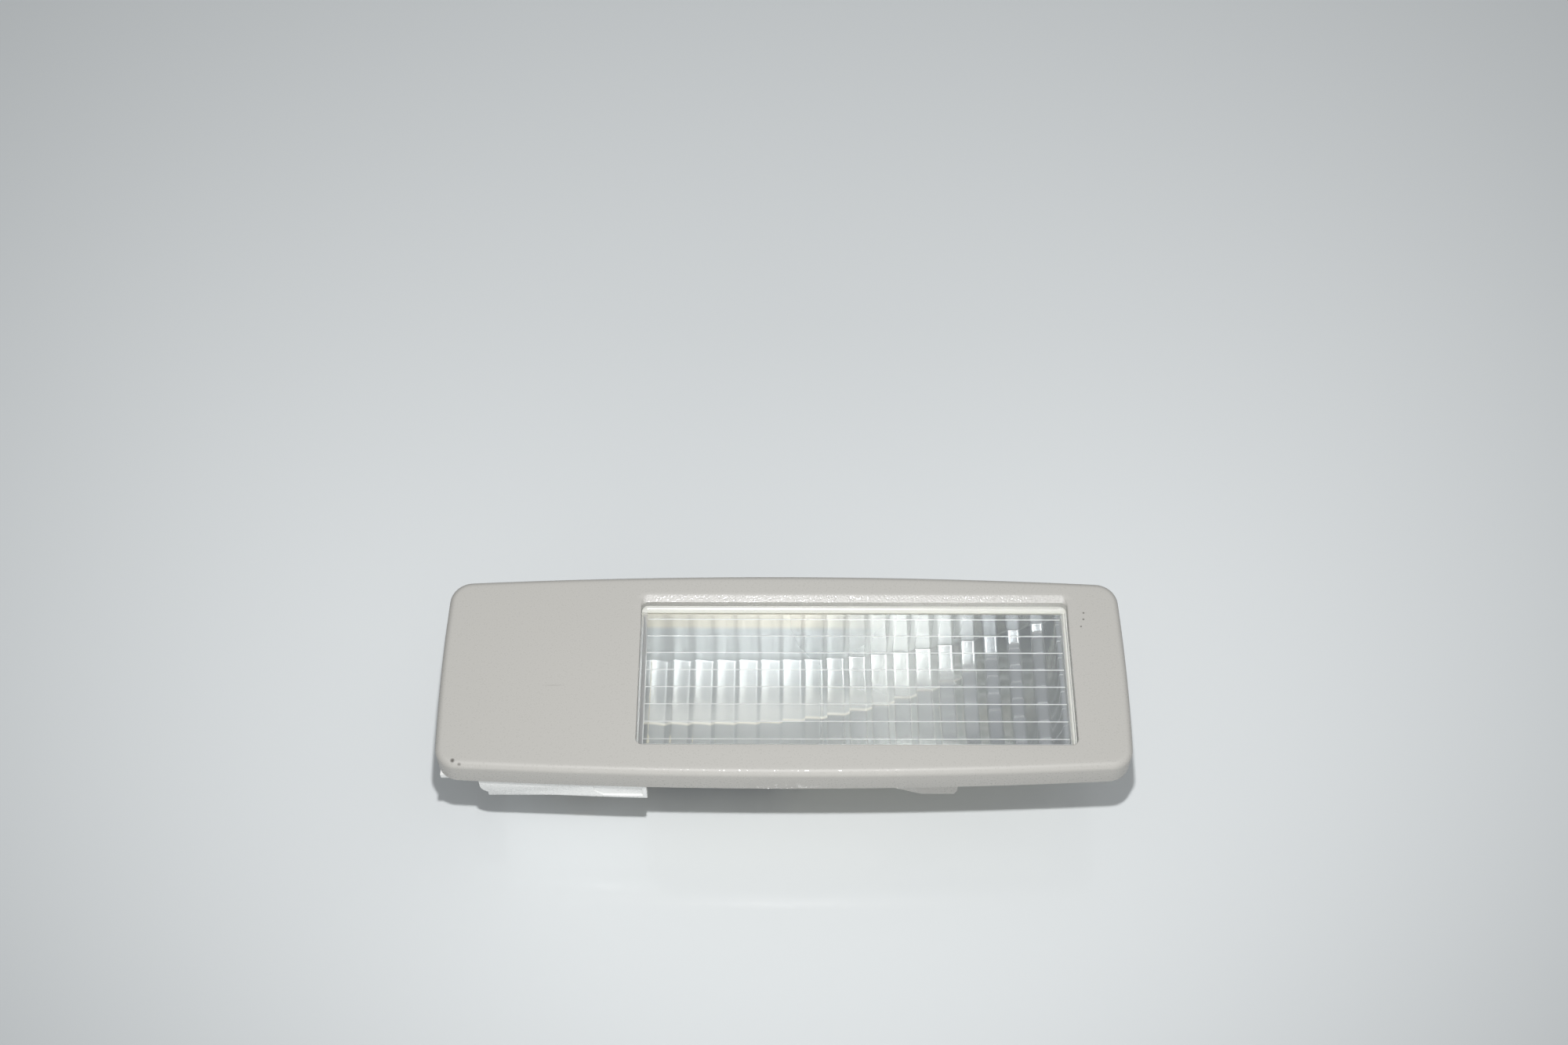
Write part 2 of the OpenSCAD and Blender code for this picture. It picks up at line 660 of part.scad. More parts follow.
module cap_shape() {
    half = bulb_l / 2;
    r = cap_dia / 2;
    rotate_extrude() polygon([
        [0, half], [tip_hole_r - 0.6, half], [tip_hole_r - 0.1, half - tip_h],
        [r - 0.6, half - tip_h - 1], [r, half - tip_h - 1.8],
        [r, half - cap_l + 0.4], [r - 0.3, half - cap_l], [r - cap_t, half - cap_l],
        [r - cap_t, half - cap_end], [0, half - cap_end]
    ]);
}

module bulb_cap_front() {
    color(tin) mirror([0, 1, 0]) bulb_axis() cap_shape();
}

module bulb_cap_rear() {
    color(tin) bulb_axis() cap_shape();
}

filament_l = bulb_l / 3;
filament_dia = 0.9;
lead_dia = 0.5;

module bulb_filament() {
    color(tungsten) bulb_axis()
        translate([0, 0, -filament_l / 2]) cylinder(d = filament_dia, h = filament_l, $fn = 24);
}

module lead_shape() {
    color(steel) bulb_axis()
        translate([0, 0, filament_l / 2])
            cylinder(d = lead_dia, h = bulb_l / 2 - cap_end - filament_l / 2, $fn = 16);
}

module bulb_lead_front() {
    mirror([0, 1, 0]) lead_shape();
}

module bulb_lead_rear() {
    lead_shape();
}

// Spring contact for the rear cap: foot on the floor, leaf with a hole for the tip of the cap
module contact_shape() {
    foot_d = back_d - housing_wall;
    color(brass) difference() {
        along_x(bulb_x - contact_w / 2, bulb_x + contact_w / 2)
            polygon(sheet([
                [rivet_y[0] - foot_end, up(foot_d)], [rivet_y[1] + foot_end, up(foot_d)],
                [leaf_y, up(bulb_d + tip_hole_r + 2.4)], [leaf_y, up(bulb_d - tip_hole_r - 1.4)],
                [leaf_y + 1, up(bulb_d - tip_hole_r - 3.9)]
            ], contact_t));
        bulb_axis() cylinder(r = tip_hole_r, h = chamber_w / 2);
        for (y = rivet_y)
            translate([bulb_x, y, up(foot_d) - 1]) cylinder(d = rivet_dia + 0.2, h = 3);
    }
}

module contact_front() {
    mirror([0, 1, 0]) contact_shape();
}

module contact_rear() {
    contact_shape();
}

// Flat conductor under the housing: from the rivets to the middle, along to the connector,
// down a step and into the connector as a blade
module busbar_shape() {
    bar_w = 4;
    y_blade = blade_pitch / 2;
    top = up(back_d);
    bend_x = socket_x0 - 2.5;
    color(brass) difference() {
        union() {
            block([bulb_x - 2.5, y_blade - bar_w / 2, top - blade_t],
                  [bulb_x + 2.5, rivet_y[1] + foot_end, top]);
            along_y(y_blade - blade_w / 2, y_blade + blade_w / 2)
                polygon(sheet([
                    [bulb_x, top - blade_t], [bend_x, top - blade_t], [bend_x, up(blade_d)],
                    [socket_x0 + socket_back + blade_l, up(blade_d)]
                ], blade_t));
        }
        for (y = rivet_y)
            translate([bulb_x, y, top - 2]) cylinder(d = rivet_dia + 0.2, h = 3);
    }
}

module busbar_feed() {
    busbar_shape();
}

module busbar_ground() {
    mirror([0, 1, 0]) busbar_shape();
}

// A rivet along Z: the grip runs from z = 0 to z = grip
module rivet(grip) {
    head_h = 0.7;
    head_dia = 1.7 * rivet_dia;
    translate([0, 0, -head_h]) cylinder(d1 = head_dia - 1, d2 = head_dia, h = head_h);
    cylinder(d = rivet_dia, h = grip);
    translate([0, 0, grip]) cylinder(d1 = head_dia, d2 = head_dia - 1, h = head_h);
}

module contact_rivets() {
    color(steel) for (y = rivet_y) both_sides()
        translate([bulb_x, y, up(back_d) - blade_t]) rivet(blade_t + housing_wall + contact_t);
}

// Pan-head screws that draw the housing up against the bezel
module housing_screws() {
    head_h = 0.6 * screw_dia;
    head_r = screw_dia - 0.1;
    slot_w = 0.2 * screw_dia;
    color(steel) for (y = [-ear_y, ear_y])
        translate([ear_x, y, up(skirt_h + ear_t)]) {
            cylinder(d = screw_dia - screw_play, h = ear_t + skirt_h - face_t - screw_play);
            difference() {
                translate([0, 0, -head_h]) rotate_extrude()
                    polygon([
                        [0, 0], [0.6 * head_r, 0], [0.9 * head_r, 0.3 * head_h],
                        [head_r, 0.6 * head_h], [head_r, head_h], [0, head_h]
                    ]);
                for (a = [0, 90]) rotate([0, 0, a])
                    block([-screw_dia / 2, -slot_w / 2, -head_h - 1], [screw_dia / 2, slot_w / 2, -head_h / 2]);
            }
        }
}

// Steel leaf at the right end: flat on its pad, round at the bottom, and out to a nose
module retaining_spring() {
    x0 = pad_x + pad_t;
    nose_x = bezel_l / 2 - skirt_wall - 1.7;
    turn_r = (nose_x - x0 + spring_t) / 2.64;
    turn_d = pad_d + 1.4 * turn_r;
    color(steel) difference() {
        along_y(-spring_w / 2, spring_w / 2)
            polygon(sheet(concat(
                [[x0, up(skirt_h)]],
                arc([x0 + turn_r, up(turn_d)], turn_r, 180, 350, 8),
                [[nose_x, up(skirt_h + 5)], [nose_x - turn_r, up(skirt_h + 1.5)]]), spring_t));
        translate([x0 - 1, 0, up(pad_rivet_d)]) rotate([0, 90, 0])
            cylinder(d = rivet_dia + 0.2, h = 3);
    }
}

module spring_rivet() {
    color(steel) translate([pad_x, 0, up(pad_rivet_d)]) rotate([0, 90, 0])
        rivet(pad_t + spring_t);
}

bezel();
lens();
reflector();
housing();
socket();
heat_shield();
bulb_glass();
bulb_cap_front();
bulb_cap_rear();
bulb_filament();
bulb_lead_front();
bulb_lead_rear();
contact_front();
contact_rear();
busbar_feed();
busbar_ground();
contact_rivets();
housing_screws();
retaining_spring();
spring_rivet();
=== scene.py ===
# %% [markdown]
# # A car interior light, dressed over its solid model
# The lamp lies on its back on a pale table. A grey bezel frames a clear lens, and under the lens
# a mirror reflector throws the light of one bulb sideways out of a row of small steps. The solid
# model gives every size and place. This file gives the pieces their soft edges, their fine detail
# and their finishes. It starts by loading the solid model as a fixed frame.

# %% Load the frame
import math

import bmesh
import bpy
import numpy as np
from mathutils import Matrix, Vector


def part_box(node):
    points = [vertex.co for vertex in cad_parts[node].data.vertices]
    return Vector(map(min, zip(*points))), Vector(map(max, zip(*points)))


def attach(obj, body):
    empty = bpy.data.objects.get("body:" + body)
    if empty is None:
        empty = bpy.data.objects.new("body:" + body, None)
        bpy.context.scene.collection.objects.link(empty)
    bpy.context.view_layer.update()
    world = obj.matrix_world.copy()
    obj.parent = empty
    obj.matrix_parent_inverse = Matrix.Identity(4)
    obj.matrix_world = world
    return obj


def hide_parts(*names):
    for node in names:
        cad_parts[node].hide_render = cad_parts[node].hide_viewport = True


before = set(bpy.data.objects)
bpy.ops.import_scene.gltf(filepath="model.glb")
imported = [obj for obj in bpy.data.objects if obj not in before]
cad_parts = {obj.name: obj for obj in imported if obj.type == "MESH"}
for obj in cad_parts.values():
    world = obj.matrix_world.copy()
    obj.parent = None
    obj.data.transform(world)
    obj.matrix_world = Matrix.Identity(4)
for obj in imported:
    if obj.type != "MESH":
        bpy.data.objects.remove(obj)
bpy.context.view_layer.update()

# %% [markdown]
# ## Sizes
# Blender works in metres and a lamp is measured in millimetres, so one small helper turns one into
# the other. Depths count down from the face, as a moulder would give them. What the solid model
# already knows, such as where the face is, is read from it and not typed again.

# %% Sizes and places
MM = 0.001
bezel_low, bezel_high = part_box("bezel")
lens_low, lens_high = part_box("lens")
face_z = bezel_high.z
bezel_l = bezel_high.x - bezel_low.x
bezel_w = bezel_high.y - bezel_low.y


def mm(value):
    """Millimetres to metres."""
    return value * MM


def up(depth_mm):
    """Height of a depth below the face."""
    return face_z - mm(depth_mm)


print(f"bezel {bezel_l / MM:.1f} x {bezel_w / MM:.1f} mm, face at {face_z / MM:.1f} mm")

# %% [markdown]
# ## Helpers for meshes
# Most pieces here are rings of points joined by faces, like hoops with a skin. A closed pile of
# rings makes a frame, and a pile with its two ends capped makes a solid. Every finished piece keeps
# its object at the origin and has its place in its mesh.

# %% Mesh helpers
def place_object(name, data, matrix=None):
    """An object in the scene, at the origin or where the matrix puts it."""
    placed = bpy.data.objects.new(name, data)
    bpy.context.scene.collection.objects.link(placed)
    if matrix is not None:
        placed.matrix_world = matrix
    return placed


def plain_object(name, vertices, faces=()):
    """A mesh object from points in metres, just as they are given."""
    mesh = bpy.data.meshes.new(name)
    mesh.from_pydata([tuple(v) for v in vertices], [], list(faces))
    return place_object(name, mesh)


def object_from(name, vertices, faces):
    """A mesh object whose doubled points are merged and whose faces are turned outwards."""
    piece = plain_object(name, vertices, faces)
    work = bmesh.new()
    work.from_mesh(piece.data)
    bmesh.ops.remove_doubles(work, verts=work.verts, dist=mm(0.0005))
    bmesh.ops.recalc_face_normals(work, faces=work.faces)
    work.to_mesh(piece.data)
    work.free()
    return piece


def ring_pile(name, rings, capped=False):
    """A skin over a pile of rings, capped at its two ends or else closed from last to first."""
    count, spans = len(rings[0]), len(rings) - 1 if capped else len(rings)
    faces = [(k * count + i, k * count + (i + 1) % count,
              (k + 1) % len(rings) * count + (i + 1) % count, (k + 1) % len(rings) * count + i)
             for k in range(spans) for i in range(count)]
    if capped:
        faces += [tuple(range(count)), tuple(range(spans * count, (spans + 1) * count))]
    return object_from(name, [p for ring in rings for p in ring], faces)


def shade(piece, angle):
    """Smooth shading, with a crease where two faces meet at more than the angle."""
    piece.data.shade_smooth()
    piece.data.set_sharp_from_angle(angle=math.radians(angle))


def apply_modifiers(piece):
    """The piece's modifiers become its plain mesh."""
    bpy.context.view_layer.update()
    shaped = piece.evaluated_get(bpy.context.evaluated_depsgraph_get())
    mesh = bpy.data.meshes.new_from_object(shaped)
    piece.modifiers.clear()
    piece.data = mesh


def finish_piece(piece, material, slot, replaced=()):
    """Gives a piece its material, its place in the frame and the solids that it stands for."""
    if material is not None:
        piece.data.materials.clear()
        piece.data.materials.append(material)
    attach(piece, "root")
    for node in replaced:
        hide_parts(node)
    piece.data.calc_loop_triangles()
    print(f"{piece.name}: {len(piece.data.loop_triangles)} triangles")


# %% [markdown]
# ## Helpers for node trees
# Materials and Geometry Nodes are both graphs of small steps. A graph made in code gets long, so
# one helper adds a node and fills its sockets, and one small class lets a sum be written as a sum:
# each sign makes a Math node. The same class serves both kinds of tree.

# %% Node helpers
def add_node(tree, kind, inputs=None, **settings):
    """A node with its settings made and its sockets filled or linked."""
    node = tree.nodes.new(kind)
    for key, value in settings.items():
        setattr(node, key, value)
    for key, value in (inputs or {}).items():
        join(tree, value, node.inputs[key])
    return node


def join(tree, value, socket):
    """Links a socket or a term, or sets a plain value."""
    if isinstance(value, Term):
        value = value.socket
    if isinstance(value, bpy.types.NodeSocket):
        tree.links.new(value, socket)
    else:
        socket.default_value = value


class Term:
    """A number that varies over a surface, written with ordinary signs."""

    def __init__(self, tree, socket):
        self.tree = tree
        self.socket = socket

    def math(self, operation, *others):
        """The term that a Math node makes of this one and others."""
        node = add_node(self.tree, "ShaderNodeMath", operation=operation)
        for index, value in enumerate((self, *others)):
            join(self.tree, value, node.inputs[index])
        return Term(self.tree, node.outputs[0])

    def __add__(self, other):
        return self.math("ADD", other)

    def __sub__(self, other):
        return self.math("SUBTRACT", other)

    def __mul__(self, other):
        return self.math("MULTIPLY", other)

    def __truediv__(self, other):
        return self.math("DIVIDE", other)

    def root(self):
        return self.math("SQRT")

    def floor(self):
        return self.math("FLOOR")

    def sine(self):
        return self.math("SINE")

    def cosine(self):
        return self.math("COSINE")

    def sign(self):
        return self.math("SIGN")

    def size(self):
        return self.math("ABSOLUTE")

    def at_least(self, other):
        return self.math("MAXIMUM", other)

    def at_most(self, other):
        return self.math("MINIMUM", other)

    def above(self, other):
        return self.math("GREATER_THAN", other)

    def clamped(self):
        """Kept between 0 and 1."""
        return self.at_least(0.0).at_most(1.0)

    def rest(self):
        """What it leaves of 1."""
        return self * -1.0 + 1.0


def ramp(term, start, end):
    """0 at the start and 1 at the end, straight between; the start may be the higher one."""
    return ((term - start) / (end - start)).clamped()


def blend_terms(factor, low, high):
    """low where the factor is 0, high where it is 1."""
    return low + (high - low) * factor


def split(tree, vector):
    """The X, Y and Z of a vector, as terms."""
    parts = add_node(tree, "ShaderNodeSeparateXYZ", {"Vector": vector})
    return [Term(tree, parts.outputs[axis]) for axis in "XYZ"]


def vector_math(tree, operation, first, second=None):
    """What a Vector Math node makes of one or two vectors."""
    node = add_node(tree, "ShaderNodeVectorMath", operation=operation)
    join(tree, first, node.inputs[0])
    if second is not None:
        join(tree, second, node.inputs[1])
    return node.outputs["Value" if operation in ("LENGTH", "DOT_PRODUCT") else "Vector"]


def object_place(tree):
    """Where a point is on the lamp."""
    return add_node(tree, "ShaderNodeTexCoord").outputs["Object"]


def new_tree(name, kind, inputs, outputs):
    """A node group, its inputs as terms by name, and its output node.

    An input is given by its default, or by its kind of socket when it has none.
    """
    tree = bpy.data.node_groups.new(name, kind)
    for label, default in inputs.items():
        socket_kind = {float: "Float", int: "Int", tuple: "Vector"}.get(type(default), default)
        socket = tree.interface.new_socket(
            label, in_out="INPUT", socket_type="NodeSocket" + socket_kind)
        if socket_kind != default:
            socket.default_value = default
    for label, socket_kind in outputs.items():
        tree.interface.new_socket(label, in_out="OUTPUT", socket_type="NodeSocket" + socket_kind)
    start = tree.nodes.new("NodeGroupInput")
    given = {label: Term(tree, start.outputs[label]) for label in inputs}
    return tree, given, tree.nodes.new("NodeGroupOutput")


def run_tree(piece, tree, values):
    """Adds the tree to a piece, sets its named inputs, and keeps the result as a plain mesh."""
    modifier = piece.modifiers.new(tree.name, "NODES")
    modifier.node_group = tree
    for item in tree.interface.items_tree:
        if item.in_out == "INPUT" and item.name in values:
            modifier[item.identifier] = values[item.name]
    apply_modifiers(piece)


print("helpers ready")

# %% [markdown]
# ## Effects that several finishes share
# Moulded plastic is never quite smooth: the steel mould was etched, and each facet of the grain
# flashes on its own in a hard light. One group gives that grain to the bezel, the housing and the
# connector, each at its own scale. A second group puts one small round mark at a point, for the
# specks that the lamp has picked up and for the painted shade of its dents.

# %% Shader groups
def make_grain_group():
    """The height of etched grain, and a mask of the few facets that catch the light."""
    tree, given, end = new_tree(
        "etched grain", "ShaderNodeTree", {"Size": 0.3, "Glint share": 0.1},
        {"Height": "Float", "Glint": "Float"})
    place = object_place(tree)
    scale = given["Size"].math("POWER", -1.0) * (1 / MM)
    noise = add_node(tree, "ShaderNodeTexNoise", {"Vector": place, "Scale": scale, "Detail": 2.0})
    cells = add_node(tree, "ShaderNodeTexVoronoi", {"Vector": place, "Scale": scale * 1.3})
    facet = add_node(tree, "ShaderNodeSeparateColor", {"Color": cells.outputs["Color"]})
    glint = Term(tree, facet.outputs[0]).above(given["Glint share"].rest())
    height = Term(tree, noise.outputs["Fac"]) * 0.7 + Term(tree, cells.outputs["Distance"]) * 0.3
    join(tree, height, end.inputs["Height"])
    join(tree, glint, end.inputs["Glint"])
    return tree


def make_mark_group():
    """A mask at one point: 1 inside the radius, 0 outside. A squeeze under 1 makes it long."""
    tree, given, end = new_tree(
        "small mark", "ShaderNodeTree",
        {"Centre": (0.0, 0.0, 0.0), "Radius": mm(0.4), "Squeeze": (1.0, 1.0, 1.0)},
        {"Mask": "Float"})
    away = vector_math(tree, "SUBTRACT", object_place(tree), given["Centre"])
    squeezed = vector_math(tree, "MULTIPLY", away, given["Squeeze"])
    far, radius = Term(tree, vector_math(tree, "LENGTH", squeezed)), given["Radius"]
    join(tree, ((radius * 1.5 - far) / radius).clamped(), end.inputs["Mask"])
    return tree


grain_group = make_grain_group()
mark_group = make_mark_group()
print("shader groups:", grain_group.name, "and", mark_group.name)

# %% [markdown]
# ## Finishes
# Each finish is one Principled shader with its own numbers. Colours are the plain ones of the
# pieces, and the grain changes roughness and bump. A helper sets up a material, and another lays a
# grain over it.

# %% Material helpers
def srgb(red, green, blue):
    """A colour as a picture shows it, 0 to 255, as the linear numbers that a shader needs."""
    def linear(c):
        c = c / 255
        return c / 12.92 if c <= 0.04045 else ((c + 0.055) / 1.055) ** 2.4
    return (linear(red), linear(green), linear(blue), 1.0)


def make_material(name, colour, roughness, metallic=0.0, **others):
    """A material with one Principled shader: the material, its tree and the shader."""
    material = bpy.data.materials.new(name)
    material.use_nodes = True
    tree = material.node_tree
    shader = tree.nodes["Principled BSDF"]
    shader.inputs["Base Color"].default_value = srgb(*colour)
    shader.inputs["Roughness"].default_value = roughness
    shader.inputs["Metallic"].default_value = metallic
    for key, value in others.items():
        shader.inputs[key.replace("_", " ")].default_value = value
    return material, tree, shader


def lay_bump(tree, shader, height, depth_mm):
    """Fine relief of a given depth, as bump."""
    bump = add_node(tree, "ShaderNodeBump",
                    {"Height": height, "Strength": 1.0, "Distance": mm(depth_mm)})
    join(tree, bump.outputs["Normal"], shader.inputs["Normal"])


def use_group(tree, group, values):
    """A shader group placed in a material with its own values."""
    node = add_node(tree, "ShaderNodeGroup", node_tree=group)
    for label, value in values.items():
        node.inputs[label].default_value = value
    return node


def lay_grain(tree, shader, size_mm, depth_mm, glint_share=0.0, glint_roughness=0.2):
    """Etched grain as bump, and a few facets smoother than the rest."""
    grain = use_group(tree, grain_group, {"Size": size_mm, "Glint share": glint_share})
    lay_bump(tree, shader, grain.outputs["Height"], depth_mm)
    if glint_share > 0:
        base = shader.inputs["Roughness"].default_value
        rough = Term(tree, grain.outputs["Glint"]) * (glint_roughness - base) + base
        join(tree, rough, shader.inputs["Roughness"])


def tint_by(tree, shader, mask, colour):
    """Another colour, 0 to 255, where the mask is 1."""
    mix = add_node(tree, "ShaderNodeMix", data_type="RGBA")
    socket = shader.inputs["Base Color"]
    if socket.is_linked:
        join(tree, socket.links[0].from_socket, mix.inputs["A"])
    else:
        mix.inputs["A"].default_value = socket.default_value
    mix.inputs["B"].default_value = srgb(*colour)
    join(tree, mask, mix.inputs["Factor"])
    join(tree, mix.outputs["Result"], socket)


print("material helpers ready")

# %% [markdown]
# The bezel is a warm light grey with a fine satin grain, and its rounded ridge catches the light.
# It has two small dents near its front left corner, painted as dark spots, which is painted shade
# of the dents; it also has a few dark specks right of the lens and one faint scratch on its face.

# %% Bezel finish
bezel_grey, tree, shader = make_material("bezel satin grey", (176, 174, 169), 0.5)
lay_grain(tree, shader, 0.34, 0.016, glint_share=0.1, glint_roughness=0.18)
# The first two marks are the dents, painted as dark spots of shade; the others are dark specks.
marks = [
    ((-72.8, -22.35, 0.0), 0.42), ((-71.3, -23.3, -0.1), 0.38),
    ((68.75, 15.5, 0.0), 0.2), ((68.6, 13.8, 0.0), 0.2), ((67.9, 11.9, 0.0), 0.18),
    ((61.0, 20.1, -0.1), 0.22),
]
for (x, y, z), radius in marks:
    mark = use_group(tree, mark_group,
                     {"Centre": (mm(x), mm(y), face_z + mm(z)), "Radius": mm(radius)})
    tint_by(tree, shader, mark.outputs["Mask"], (96, 93, 88))
scratch = use_group(tree, mark_group, {
    "Centre": (mm(-51.8), mm(-3.6), face_z), "Radius": mm(0.12), "Squeeze": (0.06, 1.0, 1.0)})
tint_by(tree, shader, Term(tree, scratch.outputs["Mask"]) * 0.45, (150, 147, 142))
print("bezel finish with", len(marks), "marks and a scratch")

# %% [markdown]
# The bevel behind the lens was etched more coarsely than the face: its facets glitter. It is the
# same plastic with a deeper grain, and its grey is painted a little lighter than the face's: a
# painted highlight for the light that its slope catches.

# %% Bevel finish
# A lighter grey than the face: painted highlight on the sloping bevel.
bevel_grey_painted_lighter, tree, shader = make_material("bevel coarse grey painted lighter", (186, 184, 180), 0.42)
lay_grain(tree, shader, 0.5, 0.13, glint_share=0.35, glint_roughness=0.12)
print("bevel finish:", bevel_grey_painted_lighter.name)

# %% [markdown]
# The lens is clear moulded plastic. A real path of light through plastic onto a mirror and back is
# slow to find for a renderer, so the lens lets shadow and diffuse rays straight through, and only
# what the eye sees is bent and mirrored. The grooves are given a partly white, rough finish, a
# painted highlight that stands in for the glints on their edges, and the rounded edge has a faint
# bloom.

# %% Lens finishes
def lay_ripple(tree, shader, size_mm, depth_mm):
    """The slow ripple of a moulded surface that should be true, as bump."""
    noise = add_node(tree, "ShaderNodeTexNoise",
                     {"Vector": object_place(tree), "Scale": 1 / mm(size_mm), "Detail": 1.0})
    lay_bump(tree, shader, noise.outputs["Fac"], depth_mm)


def show_mix(tree, factor, first, second):
    """Shows a mix of two shaders as the material's surface."""
    mix = add_node(tree, "ShaderNodeMixShader")
    for socket, value in zip(mix.inputs, (factor, first.outputs["BSDF"], second.outputs["BSDF"])):
        join(tree, value, socket)
    join(tree, mix.outputs["Shader"], tree.nodes["Material Output"].inputs["Surface"])


def let_light_through(tree, shader):
    """Shadow and diffuse rays pass the piece as if it were not there."""
    path = add_node(tree, "ShaderNodeLightPath")
    light_ray = Term(tree, path.outputs["Is Shadow Ray"]).at_least(
        Term(tree, path.outputs["Is Diffuse Ray"]))
    clear = add_node(tree, "ShaderNodeBsdfTransparent")
    clear.inputs["Color"].default_value = (0.93, 0.94, 0.94, 1.0)
    show_mix(tree, light_ray, shader, clear)


def make_clear(name, level, roughness, ior, transmission, ripple_mm=None):
    """A clear material; its ripple is a size and a depth."""
    material, tree, shader = make_material(
        name, (level, level, level), roughness, IOR=ior, Transmission_Weight=transmission)
    if ripple_mm:
        lay_ripple(tree, shader, *ripple_mm)
    let_light_through(tree, shader)
    return material


lens_clear = make_clear("lens clear plastic", 255, 0.0, 1.49, 1.0, (7.0, 0.006))
# Grooves partly white and rough: a painted highlight for their glints.
groove_painted_glint = make_clear("lens groove painted glint", 250, 0.35, 1.49, 0.35)
edge_frost = make_clear("lens edge bloom", 252, 0.2, 1.49, 0.8)
print("lens finishes:", lens_clear.name, groove_painted_glint.name, edge_frost.name, sep=", ")

# %% [markdown]
# The reflector is moulded in a cream plastic and coated with bright metal from the inside. The
# metal stops short of the rim, so a cream band is left at the top of its walls, and it is thin
# just below. It came from straight above, so the short steep faces caught less of it and look
# milky. Near the bulb the coat is satin; further away it is glossier, and its colour is painted
# lighter there, a painted highlight where the light flashes, then painted darker over the last
# steps, painted shade of the dim room that they mirror. Along the front every step ends in a lip,
# and the lips climb with the steps; a light line is painted along each lip and a fainter light
# band just behind it, painted highlights of the step edges.
# The Geometry Nodes that make the steps also write down where the short faces and the walls are,
# and the material reads that. All other masks are ramps between two places, in millimetres.

# %% Reflector finishes
coat_top, rim_top = 9.8, 4.4
step_pitch, first_step = 5.25, -31.8
lip_line, lip_half, lip_climb, climb_start, climb_run = -1.4, 0.6, 8.0, -14.0, 53.0


def noted(tree, name):
    """A mask that the Geometry Nodes wrote down under a name."""
    return Term(tree, add_node(tree, "ShaderNodeAttribute", attribute_name=name).outputs["Fac"])


def mm_ramp(term, start, end):
    """A ramp between two places in millimetres."""
    return ramp(term, mm(start), mm(end))


def distance_from_lip(along, side):
    """How far behind the lip of its step a point is; the lip is straight on each step."""
    step = ((along - mm(first_step)) / mm(step_pitch)).floor()
    middle = (step + 0.5) * mm(step_pitch) + mm(first_step)
    climb = ((middle - mm(climb_start)) / mm(climb_run)).at_least(0.0)
    return side - climb * climb * mm(lip_climb) - mm(lip_line)


reflector_coat, tree, shader = make_material(
    "reflector bright coat", (196, 199, 199), 0.38, Coat_Roughness=0.03)
along, side, height = split(tree, object_place(tree))
short_face, wall = noted(tree, "short_face"), noted(tree, "side_wall")
far_end = mm_ramp(along, 26, 48)
near_end, last_steps_painted_darker = far_end.rest(), far_end * far_end
glossy_end_painted_lighter, gloss = mm_ramp(along, 8, 26), mm_ramp(along, 0, 16)
thin = ramp(height, up(coat_top + 0.8), up(coat_top - 0.8)) * wall * mm_ramp(along, 25, 5)
from_lip = distance_from_lip(along, side)
# Painted highlight: a light line along each lip, and a fainter light band just behind it.
painted_lip_highlight = mm_ramp(from_lip.size(), lip_half, 0) * near_end
painted_band_highlight = mm_ramp(from_lip, -0.3, 0.2) * mm_ramp(from_lip, 7.4, 2.4) * near_end
# Painted light: the glossy end is painted lighter as a highlight, and the last steps darker as
# shade.
for mask, colour in [
        (glossy_end_painted_lighter, (236, 238, 236)), (last_steps_painted_darker, (213, 216, 217)), (thin, (222, 217, 204)),
        (painted_lip_highlight, (244, 239, 226)), (painted_band_highlight * 0.5, (236, 237, 234))]:
    tint_by(tree, shader, mask, colour)
metal = glossy_end_painted_lighter * 0.25 + far_end * 0.05 + 0.65 - short_face * near_end * 0.45
metal = metal - wall * 0.15 - thin * 0.2 - painted_lip_highlight * 0.3 - painted_band_highlight * 0.15
rough = gloss * -0.2 - last_steps_painted_darker * 0.06 - wall * near_end * 0.09 + 0.38
join(tree, metal.at_least(0.0), shader.inputs["Metallic"])
join(tree, rough, shader.inputs["Roughness"])
join(tree, glossy_end_painted_lighter * 0.9 + 0.1, shader.inputs["Coat Weight"])
lay_ripple(tree, shader, 2.6, 0.02)
reflector_cream, tree, shader = make_material("reflector cream plastic", (210, 207, 194), 0.4)
lay_grain(tree, shader, 0.5, 0.01)
height = split(tree, object_place(tree))[2]
tint_by(tree, shader, height.above(up(rim_top)), (240, 238, 228))
print(f"lips climb {lip_climb} mm over {climb_run} mm, cream rim above {rim_top} mm of depth")

# %% [markdown]
# The hidden pieces get plain honest finishes: white and dark moulded plastic, tinned sheet, spring
# steel and stamped brass. Sheet metal shows faint streaks along its length, so the metals share a
# helper that stretches a noise along one axis.

# %% Other finishes
def streaked_metal(name, colour, roughness, stretch):
    """Rolled or stamped sheet metal, streaked along the axis whose stretch is small."""
    material, tree, shader = make_material(name, colour, roughness, 1.0)
    mapping = add_node(tree, "ShaderNodeMapping", {"Vector": object_place(tree), "Scale": stretch})
    noise = add_node(tree, "ShaderNodeTexNoise",
                     {"Vector": mapping.outputs["Vector"], "Scale": 900.0, "Detail": 3.0})
    rough = (Term(tree, noise.outputs["Fac"]) - 0.5) * 0.25 + roughness
    join(tree, rough.at_least(0.05), shader.inputs["Roughness"])
    lay_bump(tree, shader, noise.outputs["Fac"], 0.01)
    return material


